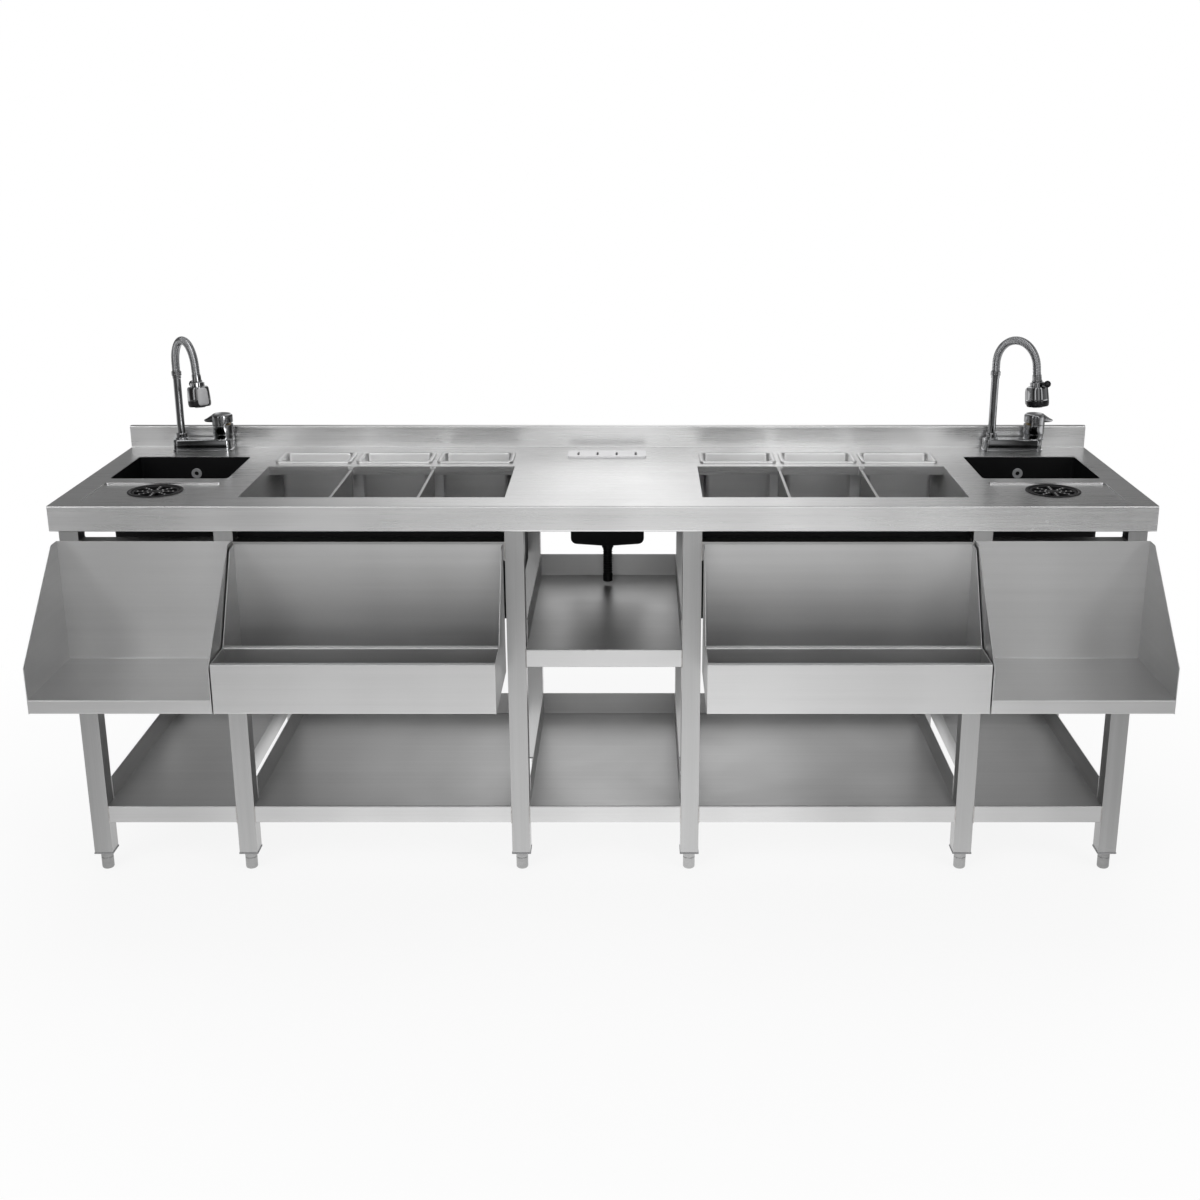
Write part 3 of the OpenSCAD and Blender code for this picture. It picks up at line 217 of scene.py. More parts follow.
def layFloor(look):
    mesh = bpy.data.meshes.new("floor")
    half = look["floorHalf"]
    mesh.from_pydata([(-half, -half, 0), (half, -half, 0), (half, half, 0), (-half, half, 0)], [],
        [(0, 1, 2, 3)])
    floor = bpy.data.objects.new("floor", mesh)
    scene.collection.objects.link(floor)
    material = bpy.data.materials.new("paleFloor")
    material.use_nodes = True
    tree = material.node_tree
    tree.nodes.clear()
    coords = addNode(tree, "ShaderNodeTexCoord").outputs["Object"]
    across = maths(tree, "ABSOLUTE", made(tree, "ShaderNodeSeparateXYZ", {0: coords}))
    away = addNode(tree, "ShaderNodeVectorMath", {0: coords}, operation="LENGTH").outputs["Value"]
    white = (1, 1, 1, 1)
    diffuse = made(tree, "ShaderNodeBsdfDiffuse", {0: (*grey(look["floorDiffuse"]), 1)})
    glow = made(tree, "ShaderNodeEmission", {0: white, 1: 1.0})
    reach = look["shadowReach"]
    shadowShare = spread(tree, away, reach * look["shadowCore"], reach, look["floorShadow"], 0.0)
    seen = made(tree, "ShaderNodeMixShader", {0: shadowShare, 1: glow, 2: diffuse})
    stretched = scaled(tree, coords, look["blotchStretch"])
    blotch = made(tree, "ShaderNodeTexNoise", {"Vector": stretched, "Scale": 1.0, "Detail": 1.0})
    dim = spread(tree, blotch, look["blotchDark"], look["blotchPale"], look["blotchLow"], 1.0)
    depth = addNode(tree, "ShaderNodeSeparateXYZ", {0: coords}).outputs[1]
    far = spread(tree, depth, look["blotchFrom"], look["blotchTo"], 0.0, 1.0)
    faded = made(tree, "ShaderNodeMix", {0: far, 2: 1.0, 3: dim})
    level = look["floorLevel"]
    side = spread(tree, across, look["floorBandIn"], look["floorBandOut"], level, look["floorSide"] * level)
    band = times(tree, side, faded)
    mirrored = made(tree, "ShaderNodeEmission", {0: white, 1: band})
    path = addNode(tree, "ShaderNodeLightPath")
    first = made(tree, "ShaderNodeMixShader", {0: path.outputs["Is Camera Ray"], 1: diffuse, 2: seen})
    last = made(tree, "ShaderNodeMixShader", {0: path.outputs["Is Glossy Ray"], 1: first, 2: mirrored})
    addNode(tree, "ShaderNodeOutputMaterial", {"Surface": last})
    mesh.materials.append(material)


lightWorld(studio)
hangLamps(studio)
layFloor(studio)
print("studio lit")


# shared surface effects, each a group that is built once
def newGroup(name, inputs, outputs):
    tree = bpy.data.node_groups.new(name, "ShaderNodeTree")
    for label, value in inputs.items():
        tree.interface.new_socket(label, in_out="INPUT", socket_type="NodeSocketFloat").default_value = value
    for label, kind in outputs.items():
        tree.interface.new_socket(label, in_out="OUTPUT", socket_type=kind)
    return tree, addNode(tree, "NodeGroupInput").outputs, addNode(tree, "NodeGroupOutput").inputs


grainLook = {"sideFace": 0.7, "fineDetail": 2.0, "broadScale": 0.07, "broadDetail": 3.0,
    "cloudStretch": (4.5, 0.8, 0.8)}
# bevel settings for the edge mask, which paints a highlight on metal edges and marks edge wear on plastic
edgeWearAndHighlightLook = {"samples": 4, "flatMatch": 0.995, "edgeMatch": 0.8}
marksLook = {
    "smearDetail": 4.0, "smearDistortion": 0.6, "smearLow": 0.35, "smearHigh": 0.7,
    "dropRadius": 0.16, "dropRim": 0.035, "patchScale": 9.0, "patchLimit": 0.56,
}
# where the painted reflection bands and the painted highlight on upward faces fall on polished metal, by the
# direction of its normal
paintedReflectionLook = {
    "main": 0.5, "mainIn": 0.1, "mainOut": 0.28, "second": -0.8, "secondIn": 0.1, "secondOut": 0.24,
    "secondLevel": 0.85, "topFrom": 0.35, "topTo": 0.95, "topLevel": 0.6,
}


def makeBrushGrain(look):
    # lines of the brush: along X, along Y on side faces, along Z where Upright is 1
    tree, given, out = newGroup("brushGrain", {"Across": 900.0, "Along": 7.0, "Upright": 0.0},
        {"Grain": "NodeSocketFloat", "Streak": "NodeSocketFloat", "Cloud": "NodeSocketFloat"})
    coords = addNode(tree, "ShaderNodeTexCoord").outputs["Object"]
    facing = addNode(tree, "ShaderNodeSeparateXYZ",
        {0: addNode(tree, "ShaderNodeNewGeometry").outputs["True Normal"]})
    sideFace = maths(tree, "GREATER_THAN", maths(tree, "ABSOLUTE", facing.outputs[0]), look["sideFace"])
    along, across = given["Along"], given["Across"]
    lays = [vector(tree, *lay) for lay in ((along, across, across), (across, along, across),
        (across, across, along))]
    lay = mixVector(tree, given["Upright"], mixVector(tree, sideFace, lays[0], lays[1]), lays[2])
    stretched = scaled(tree, coords, lay)
    wide = scaled(tree, coords, look["cloudStretch"])
    for label, place, scale, detail in (("Grain", stretched, 1.0, look["fineDetail"]),
            ("Streak", stretched, look["broadScale"], look["broadDetail"]), ("Cloud", wide, 1.0, 1.0)):
        noise = addNode(tree, "ShaderNodeTexNoise", {"Vector": place, "Scale": scale, "Detail": detail})
        tree.links.new(noise.outputs[0], out[label])
    return tree


# edges: a rounded normal and a mask on edges that lightens colour, as a painted highlight on metal and as
# edge wear on plastic
def makeEdgeWearAndHighlight(look):
    tree, given, out = newGroup("edgeWear", {"Radius": 0.001},
        {"Edge": "NodeSocketFloat", "Rounded": "NodeSocketVector"})
    rounded = addNode(tree, "ShaderNodeBevel", {"Radius": given["Radius"]},
        samples=look["samples"]).outputs[0]
    flat = addNode(tree, "ShaderNodeNewGeometry").outputs["Normal"]
    match = addNode(tree, "ShaderNodeVectorMath", {0: rounded, 1: flat},
        operation="DOT_PRODUCT").outputs["Value"]
    tree.links.new(spread(tree, match, look["flatMatch"], look["edgeMatch"], 0.0, 1.0), out["Edge"])
    tree.links.new(rounded, out["Rounded"])
    return tree


def makeHandling(look):
    # wiped smears, and small dried drops that show as a rim
    tree, given, out = newGroup("handling", {"Smears": 5.0, "Drops": 60.0},
        {"Smear": "NodeSocketFloat", "Drop": "NodeSocketFloat"})
    coords = addNode(tree, "ShaderNodeTexCoord").outputs["Object"]
    smear = addNode(tree, "ShaderNodeTexNoise", {"Vector": coords, "Scale": given["Smears"],
        "Detail": look["smearDetail"], "Distortion": look["smearDistortion"]})
    tree.links.new(spread(tree, smear.outputs[0], look["smearLow"], look["smearHigh"], 0.0, 1.0),
        out["Smear"])
    cells = addNode(tree, "ShaderNodeTexVoronoi", {"Vector": coords, "Scale": given["Drops"],
        "Randomness": 1.0})
    rim = distance(tree, cells.outputs["Distance"], look["dropRadius"])
    ringMask = spread(tree, rim, 0.0, look["dropRim"], 1.0, 0.0)
    patches = made(tree, "ShaderNodeTexNoise", {"Vector": coords, "Scale": look["patchScale"]})
    few = maths(tree, "GREATER_THAN", patches, look["patchLimit"])
    tree.links.new(times(tree, ringMask, few), out["Drop"])
    return tree


def makePaintedReflectionBands(look):
    # painted reflection: a dark room and tall lights painted into the colour of polished round metal by the
    # way that it faces, with a painted highlight on faces that look up
    tree, given, out = newGroup("studioBands", {"Main": look["main"], "Second": look["second"]},
        {"Light": "NodeSocketFloat"})
    facing = addNode(tree, "ShaderNodeSeparateXYZ",
        {0: addNode(tree, "ShaderNodeNewGeometry").outputs["Normal"]})
    main = spread(tree, distance(tree, facing.outputs[0], given["Main"]), look["mainIn"], look["mainOut"],
        1.0, 0.0)
    offSecond = distance(tree, facing.outputs[0], given["Second"])
    second = spread(tree, offSecond, look["secondIn"], look["secondOut"], look["secondLevel"], 0.0)
    top = spread(tree, facing.outputs[2], look["topFrom"], look["topTo"], 0.0, look["topLevel"])
    tree.links.new(largest(tree, largest(tree, main, second), top), out["Light"])
    return tree


brushGrain, edgeWear = makeBrushGrain(grainLook), makeEdgeWearAndHighlight(edgeWearAndHighlightLook)
handling, studioBands = makeHandling(marksLook), makePaintedReflectionBands(paintedReflectionLook)


def useGroup(tree, group, values):
    node = tree.nodes.new("ShaderNodeGroup")
    node.node_tree = group
    for key, value in values.items():
        node.inputs[key].default_value = value
    return node.outputs


def startMaterial(name, metallic, gloss=0.5):
    material = bpy.data.materials.new(name)
    material.use_nodes = True
    tree = material.node_tree
    tree.nodes.clear()
    shader = addNode(tree, "ShaderNodeBsdfPrincipled", {"Metallic": metallic, "Specular IOR Level": gloss})
    addNode(tree, "ShaderNodeOutputMaterial", {"Surface": shader.outputs[0]})
    return material, tree, shader


def wornSurfaceAndHighlight(tree, look):
    wear = useGroup(tree, edgeWear, {"Radius": look["edge"] * mm})
    return wear, useGroup(tree, handling, {"Smears": look["smears"], "Drops": look["drops"]})


def raisedGrain(tree, look, height, wear):
    return made(tree, "ShaderNodeBump", {
        "Strength": look["bump"], "Distance": look["bumpDepth"], "Height": height, "Normal": wear["Rounded"]})


def dressShader(tree, shader, colour, rough, normal):
    for label, value in (("Base Color", colour), ("Roughness", rough), ("Normal", normal)):
        tree.links.new(value, shader.inputs[label])


def brushedMetal(name, look):
    material, tree, shader = startMaterial(name, 1.0)
    grain = useGroup(tree, brushGrain, {"Across": look["across"], "Along": look["along"],
        "Upright": look["upright"]})
    wear, marks = wornSurfaceAndHighlight(tree, look)
    lines = plus(tree, times(tree, grain["Streak"], look["streakShare"]),
        times(tree, grain["Grain"], look["grainShare"]))
    mixed = plus(tree, lines, times(tree, grain["Cloud"], look["cloudShare"]))
    streak = spread(tree, mixed, look["toneLow"], look["toneHigh"], 0.0, 1.0)
    tone = mixColour(tree, streak, grey(look["dark"], look["warmth"]), grey(look["light"], look["warmth"]))
    smearShare = times(tree, marks["Smear"], look["smearTone"])
    smeared = mixColour(tree, smearShare, tone, grey(look["dark"] * look["smearDim"]))
    # edges are lightened towards a paler grey as a painted highlight on the metal
    wornAndHighlighted = mixColour(tree, times(tree, wear["Edge"], look["edgeTone"]), smeared,
        grey(min(1.0, look["light"] * look["edgeGain"])))
    smooth, coarse = look["rough"] - look["roughSpan"], look["rough"] + look["roughSpan"]
    rough = spread(tree, grain["Grain"], look["grainLow"], look["grainHigh"], smooth, coarse)
    rough = plus(tree, rough, times(tree, marks["Smear"], look["smearRough"]))
    if look["dropRough"]:
        rough = plus(tree, rough, times(tree, marks["Drop"], look["dropRough"]))
    dressShader(tree, shader, wornAndHighlighted, rough, raisedGrain(tree, look, grain["Grain"], wear))
    return material


def polishedMetal(name, look):
    material, tree, shader = startMaterial(name, look["metallic"])
    wear, marks = wornSurfaceAndHighlight(tree, look)
    lit = useGroup(tree, studioBands, {})["Light"]
    # painted reflection: the colour is darkened off the reflection bands as painted shade and is full in them
    tone = mixColour(tree, lit, [c * look["darkShare"] for c in look["colour"]], look["colour"])
    tone = mixColour(tree, times(tree, marks["Smear"], 1 - look["smearTone"]), tone, grey(look["smearGrey"]))
    # edges mix towards the pale edge colour as a painted highlight
    wornAndHighlighted = mixColour(tree, times(tree, wear["Edge"], look["edgeTone"]), tone, look["edgeColour"])
    rough = plus(tree, times(tree, marks["Smear"], look["smearRough"]),
        times(tree, marks["Drop"], look["dropRough"]))
    dressShader(tree, shader, wornAndHighlighted, plus(tree, rough, look["rough"]), wear["Rounded"])
    return material


def mouldedPlastic(name, look):
    material, tree, shader = startMaterial(name, 0.0, look["gloss"])
    coords = addNode(tree, "ShaderNodeTexCoord").outputs["Object"]
    wear, marks = wornSurfaceAndHighlight(tree, look)
    pebble = made(tree, "ShaderNodeTexNoise", {"Vector": coords, "Scale": look["pebble"], "Detail": 2.0})
    speckles = spread(tree, pebble, look["pebbleLow"], look["pebbleHigh"], 0.0, 1.0)
    tone = mixColour(tree, speckles, look["colour"], [c * look["speckle"] for c in look["colour"]])
    dusty = mixColour(tree, times(tree, marks["Smear"], look["dust"]), tone, grey(look["dustGrey"]))
    # edges are lightened towards a paler grey as edge wear
    wornAndHighlighted = mixColour(tree, times(tree, wear["Edge"], look["edgeTone"]), dusty, grey(look["edgeGrey"]))
    rough = plus(tree, times(tree, marks["Smear"], look["smearRough"]),
        times(tree, marks["Drop"], look["dropRough"]))
    rough = plus(tree, rough, look["rough"], clamp=True)
    dressShader(tree, shader, wornAndHighlighted, rough, raisedGrain(tree, look, pebble, wear))
    return material


# each family of finishes: what makes it, what its members share, and what each has of its own
steelLook = {
    "across": 1100.0, "along": 7.0, "upright": 0.0, "warmth": 0.0, "edge": 0.8, "smears": 3.0, "drops": 60.0,
    "streakShare": 0.2, "grainShare": 0.2, "cloudShare": 0.6, "toneLow": 0.38, "toneHigh": 0.62,
    "smearTone": 0.12, "smearDim": 0.8, "edgeTone": 0.4, "edgeGain": 1.25, "grainLow": 0.3, "grainHigh": 0.7,
    "roughSpan": 0.04, "smearRough": 0.06, "dropRough": 0.0, "bump": 0.16, "bumpDepth": 0.00005,
}
# one stainless steel in lit and shaded copies: frame, rails and shelves darker as painted shade under the
# worktop, the ice wells lighter as painted light against the shade inside them
steels = {
    "worktopSteel": {"dark": 0.72, "light": 0.88, "rough": 0.27, "edgeTone": 0.15, "drops": 40.0,
        "dropRough": 0.12},
    "frameSteel": {"dark": 0.38, "light": 0.48, "rough": 0.36, "upright": 1.0},
    "railSteel": {"dark": 0.38, "light": 0.48, "rough": 0.36},
    "shelfSteel": {"dark": 0.54, "light": 0.64, "rough": 0.38},
    "rackSteel": {"dark": 0.6, "light": 0.68, "rough": 0.42},
    "wellSteel": {"dark": 0.86, "light": 0.98, "rough": 0.33, "dropRough": 0.1},
    "panSteel": {"dark": 0.84, "light": 0.96, "rough": 0.36, "across": 700.0, "edge": 0.4},
    "weldSteel": {"dark": 0.42, "light": 0.62, "rough": 0.34, "warmth": 0.03},
    "footMetal": {"dark": 0.3, "light": 0.42, "rough": 0.36, "along": 300.0},
}
# polished metals: the first share in each entry is their colour's level off the painted reflection bands, as
# painted shade, and the pale edge colour is a painted highlight
polishLook = {
    "metallic": 1.0, "edge": 0.8, "edgeTone": 0.5, "edgeColour": (0.95, 0.95, 0.96),
    "smearTone": 0.85, "smearGrey": 0.1, "dropRough": 0.12,
}
polished = {
    "cartridgeBrass": {"darkShare": 0.8, "colour": (0.68, 0.52, 0.28), "edgeColour": (0.85, 0.7, 0.45),
        "rough": 0.3, "edge": 0.4, "smears": 30.0, "drops": 200.0, "smearTone": 0.8, "smearRough": 0.1},
    "tapChrome": {"darkShare": 0.15, "colour": (0.9, 0.91, 0.93), "rough": 0.09, "smears": 22.0,
        "drops": 160.0, "smearTone": 0.9, "smearRough": 0.07},
    "hoseChrome": {"darkShare": 0.42, "colour": (0.8, 0.81, 0.83), "edgeColour": (0.92, 0.92, 0.93),
        "rough": 0.14, "edge": 0.3, "smears": 40.0, "drops": 260.0, "smearRough": 0.08},
    "wasteChrome": {"metallic": 0.5, "darkShare": 0.7, "colour": (0.84, 0.85, 0.87), "rough": 0.16,
        "smears": 16.0, "drops": 140.0, "smearRough": 0.1},
}
plasticLook = {
    "gloss": 0.5, "pebbleLow": 0.3, "pebbleHigh": 0.7, "dustGrey": 0.3, "edgeGrey": 0.45, "smearRough": 0.1,
    "dropRough": 0.15, "bumpDepth": 0.0001,
}
plastics = {
    # sink bowls: near-black, painted shade standing in for the deep shadow in the bowls
    "sinkBlack": {"colour": (0.003, 0.003, 0.0033), "speckle": 1.6, "pebble": 900.0, "rough": 0.45,
        "gloss": 0.12, "edge": 1.2, "edgeTone": 0.06, "dust": 0.01, "smears": 6.0, "drops": 90.0,
        "bump": 0.25},
    "rinserBlack": {"colour": (0.006, 0.006, 0.0065), "speckle": 2.0, "pebble": 700.0, "rough": 0.4,
        "gloss": 0.2, "edge": 0.6, "edgeTone": 0.12, "dust": 0.03, "smears": 14.0, "drops": 160.0,
        "bump": 0.4},
    "jacketFoam": {"colour": (0.008, 0.008, 0.0085), "speckle": 1.8, "pebble": 420.0, "rough": 0.62,
        "gloss": 0.2, "edge": 1.5, "edgeTone": 0.08, "dust": 0.03, "smears": 5.0, "drops": 60.0, "bump": 0.8},
    "knifeWhite": {"colour": (0.8, 0.8, 0.81), "speckle": 0.97, "pebble": 600.0, "rough": 0.3,
        "edge": 0.8, "edgeTone": 0.0, "dust": 0.05, "smears": 12.0, "drops": 120.0, "bump": 0.15},
    "knobBlack": {"colour": (0.008, 0.008, 0.009), "speckle": 1.3, "pebble": 900.0, "rough": 0.16,
        "gloss": 0.25, "edge": 0.5, "edgeTone": 0.1, "dust": 0.02, "smears": 30.0, "drops": 300.0,
        "bump": 0.1},
    "paddleGrey": {"colour": (0.5, 0.5, 0.51), "speckle": 0.92, "pebble": 800.0, "rough": 0.32,
        "edge": 0.6, "edgeTone": 0.2, "dust": 0.03, "smears": 30.0, "drops": 240.0, "bump": 0.15},
    "plugGrey": {"colour": (0.32, 0.32, 0.33), "speckle": 0.88, "pebble": 500.0, "rough": 0.5,
        "edge": 0.6, "edgeTone": 0.2, "dust": 0.1, "smears": 20.0, "drops": 120.0, "bump": 0.4},
}
finishes = {}
for make, shared, members in ((brushedMetal, steelLook, steels), (polishedMetal, polishLook, polished),
        (mouldedPlastic, plasticLook, plastics)):
    for name, own in members.items():
        finishes[name] = make(name, {**shared, **own})
print("finishes mixed:", len(finishes))


# shapes are made in millimetres as (vertices, faces), then placed in metres
def quarterBend(radius, angle):
    # how far a quarter bend has pulled in and risen, at an angle in degrees
    return radius * (1 - math.sin(math.radians(angle))), radius * (1 - math.cos(math.radians(angle)))


def cornerRing(halfWidth, halfLength, corner, z, steps=6):
    ring = []
    for signX, signY, start in ((1, 1, 0), (-1, 1, 90), (-1, -1, 180), (1, -1, 270)):
        for step in range(steps + 1):
            angle = math.radians(start + 90 * step / steps)
            ring.append(Vector((signX * (halfWidth - corner) + corner * math.cos(angle),
                signY * (halfLength - corner) + corner * math.sin(angle), z)))
    return ring


def roundRing(radius, z, count=48, lobes=0, lobeDepth=0.0):
    ring = []
    for step in range(count):
        angle = 2 * math.pi * step / count
        reach = radius - lobeDepth * (0.5 - 0.5 * math.cos(lobes * angle))
        ring.append(Vector((reach * math.cos(angle), reach * math.sin(angle), z)))
    return ring


def loft(rings, closed=False):
    count = len(rings[0])
    vertices = [point for ring in rings for point in ring]
    faces = []
    for level in range(len(rings) if closed else len(rings) - 1):
        low, high = level * count, (level + 1) % len(rings) * count
        faces += [(low + i, low + (i + 1) % count, high + (i + 1) % count, high + i) for i in range(count)]
    if not closed:
        faces += [tuple(reversed(range(count))), tuple(range(len(vertices) - count, len(vertices)))]
    return vertices, faces


def turned(profile, count=48, closed=False, **options):
    return loft([roundRing(radius, z, count, **options) for radius, z in profile], closed)


def placed(shape, matrix):
    return [matrix @ point for point in shape[0]], shape[1]


def rotation(degrees, axis):
    return Matrix.Rotation(math.radians(degrees), 4, axis)


def shifted(shape, x=0, y=0, z=0):
    return placed(shape, Matrix.Translation((x, y, z)))


def together(*shapes):
    vertices, faces = [], []
    for points, polygons in shapes:
        faces += [tuple(i + len(vertices) for i in polygon) for polygon in polygons]
        vertices += points
    return vertices, faces


def meshPiece(name, parts, sharpAngle=38):
    # parts: pairs of a shape in metres and its finish
    mesh = bpy.data.meshes.new(name)
    vertices, faces = together(*(shape for shape, finish in parts))
    mesh.from_pydata(vertices, [], faces)
    labels = list(dict.fromkeys(finish for shape, finish in parts))
    for label in labels:
        mesh.materials.append(finishes[label])
    owners = [labels.index(finish) for shape, finish in parts for polygon in shape[1]]
    mesh.polygons.foreach_set("material_index", owners)
    cleaned = bmesh.new()
    cleaned.from_mesh(mesh)
    bmesh.ops.remove_doubles(cleaned, verts=cleaned.verts, dist=1e-6)
    bmesh.ops.dissolve_degenerate(cleaned, edges=cleaned.edges, dist=1e-6)
    bmesh.ops.recalc_face_normals(cleaned, faces=cleaned.faces)
    cleaned.to_mesh(mesh)
    cleaned.free()
    mesh.shade_smooth()
    mesh.set_sharp_from_angle(angle=math.radians(sharpAngle))
    piece = bpy.data.objects.new(name, mesh)
    scene.collection.objects.link(piece)
    return piece


def install(piece, body, slot, *replaced):
    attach(piece, body)
    if replaced:
        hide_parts(*replaced)
    return piece


def inFrame(place, turn=None):
    return Matrix.Translation(place) @ (turn or Matrix.Identity(4)) @ Matrix.Scale(mm, 4)


# geometry node helpers
def newTree(name, sizes):
    tree = bpy.data.node_groups.new(name, "GeometryNodeTree")
    tree.interface.new_socket("Geometry", in_out="INPUT", socket_type="NodeSocketGeometry")
    for label, value in sizes.items():
        kind = "Material" if value is None else "Int" if isinstance(value, int) else "Float"
        socket = tree.interface.new_socket(label, in_out="INPUT", socket_type="NodeSocket" + kind)
        if value is not None:
            socket.default_value = value
    tree.interface.new_socket("Geometry", in_out="OUTPUT", socket_type="NodeSocketGeometry")
    return tree, addNode(tree, "NodeGroupInput").outputs


def joined(tree, *parts):
    node = addNode(tree, "GeometryNodeJoinGeometry")
    for part in parts:
        tree.links.new(part, node.inputs[0])
    return node.outputs[0]


def coated(tree, geometry, finish):
    return made(tree, "GeometryNodeSetMaterial", {"Geometry": geometry, "Material": finish})


def moved(tree, geometry, offset):
    return made(tree, "GeometryNodeTransform", {"Geometry": geometry, "Translation": offset})


def scattered(tree, points, instance, **more):
    return made(tree, "GeometryNodeInstanceOnPoints", {"Points": points, "Instance": instance, **more})


def endTree(tree, geometry, finish):
    real = made(tree, "GeometryNodeRealizeInstances", {0: geometry})
    addNode(tree, "NodeGroupOutput", {0: coated(tree, real, finish)})


def grownPiece(name, seed, tree, values, sharpAngle=38):
    # seed: the mesh that the tree starts from, as (vertices, edges, faces) in metres
    mesh = bpy.data.meshes.new(name + "Seed")
    mesh.from_pydata(*seed)
    piece = bpy.data.objects.new(name, mesh)
    scene.collection.objects.link(piece)
    modifier = piece.modifiers.new("shape", "NODES")
    modifier.node_group = tree
    for item in tree.interface.items_tree:
        if item.in_out == "INPUT" and item.name in values:
            modifier[item.identifier] = values[item.name]
    grown = bpy.data.meshes.new_from_object(piece.evaluated_get(bpy.context.evaluated_depsgraph_get()))
    piece.modifiers.clear()
    piece.data = grown
    grown.name = name
    bpy.data.meshes.remove(mesh)
    grown.shade_smooth()
    grown.set_sharp_from_angle(angle=math.radians(sharpAngle))
    return piece


# garnish pans: drawn steel with a turned rim, a stacking shoulder and a filleted floor
panShape = {
    "rimHeight": 4, "rimWidth": 9, "step": 3, "corner": 12, "leastCorner": 3, "shoulder": 25, "fillet": 8,
    "wall": 1, "bendAngles": (0, 22, 45, 68, 90),
    # outlines as (outwards from the wall, height, extra corner radius)
    "outerShoulder": ((-3, -2.5, 0), (-0.6, -0.6, 0), (0, 0.6, 0)),
    "rim": ((0, 0.6, 0), (0.8, 2.2, 0), (2.4, 2.9, 0.8), (7.4, 2.9, 1), (7.9, 2.5, 1), (8, 0.3, 1),
        (9, 0.3, 1.5), (9, 2.7, 1.5), (8.7, 3.5, 1.3), (7.9, 4, 1), (2.6, 3.85, 0.6), (0.8, 3.2, 0),
        (-0.6, 1.6, -0.6), (-1, -0.4, -1)),
    "innerShoulder": ((-1, 1, -1), (-1.6, -0.4, -1), (-3.8, -2, -1)),
}


def panRings(halfWidth, halfLength, depth, shape):
    wide, long = halfWidth - shape["rimWidth"], halfLength - shape["rimWidth"]
    corner, wall, low = shape["corner"], shape["wall"], shape["rimHeight"] - depth

    def bottom(inset, fillet, floorZ, angles):
        rings = []
        for angle in angles:
            inwards, rise = quarterBend(fillet, angle)
            pull = inset + inwards
            radius = max(corner - pull + inset, shape["leastCorner"])
            rings.append(cornerRing(wide - pull, long - pull, radius, floorZ + rise))
        return rings

    def wallRings(outline, level):
        return [cornerRing(wide + grow, long + grow, corner + extra, level + z) for grow, z, extra in outline]

    rings = bottom(shape["step"], shape["fillet"], low, shape["bendAngles"])
    rings += wallRings(shape["outerShoulder"], -shape["shoulder"]) + wallRings(shape["rim"], 0)
    rings += wallRings(shape["innerShoulder"], -shape["shoulder"])
    return rings + bottom(shape["step"] + wall, shape["fillet"] - wall, low + wall,
        reversed(shape["bendAngles"]))


for number in range(1, 7):
    node = f"garnish_pan_{number}"
    low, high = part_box(node)
    middle = (low + high) / 2
    size = (high - low) / mm
    rings = panRings(size.x / 2, size.y / 2, size.z, panShape)
    place = inFrame((middle.x, middle.y, high.z - panShape["rimHeight"] * mm))
    pan = meshPiece(f"garnishPan{number}", [(placed(loft(rings), place), "panSteel")])
    install(pan, node, "pan_steel", node)
print("pans drawn")


# sink bowls: pressed, with a floor that falls to the waste; near-black inside and out, painted shade for the
# deep shadow in the bowls
bowlShape = {
    "sheet": 1.5, "corner": 10, "fillet": 16, "fall": 3, "seatRadius": 57, "holeRadius": 43.3,
    "bendAngles": (90, 70, 50, 30, 12, 0), "cornerGain": 0.6,
    "dishHalfWidth": 84, "dishHalfLength": 76, "dishCorner": 50, "dishLift": 1.1, "seatLift": 0.05,
}


def bowlRings(halfWidth, halfLength, height, shape):
    def skin(grow, lift):
        fillet = shape["fillet"] + grow
        rings = [cornerRing(halfWidth + grow, halfLength + grow, shape["corner"] + grow, height)]
        for angle in shape["bendAngles"]:
            pull, rise = quarterBend(fillet, angle)
            corner = shape["corner"] + grow + pull * shape["cornerGain"]
            z = lift + shape["fall"] + rise
            rings.append(cornerRing(halfWidth + grow - pull, halfLength + grow - pull, corner, z))
        dish = (shape["dishHalfWidth"], shape["dishHalfLength"], shape["dishCorner"],
            lift + shape["dishLift"])
        rings.append(cornerRing(*dish))
        for radius, z in ((shape["seatRadius"], lift + shape["seatLift"]), (shape["holeRadius"], lift)):
            rings.append(cornerRing(radius, radius, radius, z))
        return rings

    return skin(0, 0) + skin(shape["sheet"], -shape["sheet"])[::-1]


for side in sides:
    node = f"sink_bowl_{side}"
    low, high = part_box(node)
    middle = (low + high) / 2
    sheet = bowlShape["sheet"]
    floorZ = low.z + sheet * mm
    half = (high - low) / mm / 2
    shape = loft(bowlRings(half.x - sheet, half.y - sheet, (high.z - floorZ) / mm, bowlShape), True)
    bowl = meshPiece(f"sinkBowl{side.title()}", [(placed(shape, inFrame((middle.x, middle.y, floorZ))),
        "sinkBlack")])
    install(bowl, "frame", "sink_black", node)
print("bowls pressed")


# glass rinsers: cup with a flange, guide and barbed spigot, and a sprung press plate with jets
rinserShape = {
    "gap": 3.5, "flangeWidth": 5, "lip": 2, "depth": 40, "wall": 2.5, "boss": 10, "guide": 6.05,
    "guideTop": -22, "spigotBore": 6.4, "spigot": 7.7, "barb": 9, "spigotFoot": -62, "firstBarb": -58.6,
    "barbPitch": 4.6, "barbs": 3, "spigotHead": -46.5, "spigotTop": -39.5,
}
plateShape = {
    "thickness": 4, "ringWidth": 5, "hub": 10, "arms": 8, "armWidth": 7, "armOverlap": 2, "stem": 6,
    "stemFoot": -29.2, "jetRadius": 1.9, "jetRows": (0.62, 1.0, 1.38), "armDrop": -0.4, "jetDrop": -0.2,
    "jetSides": 10,
}


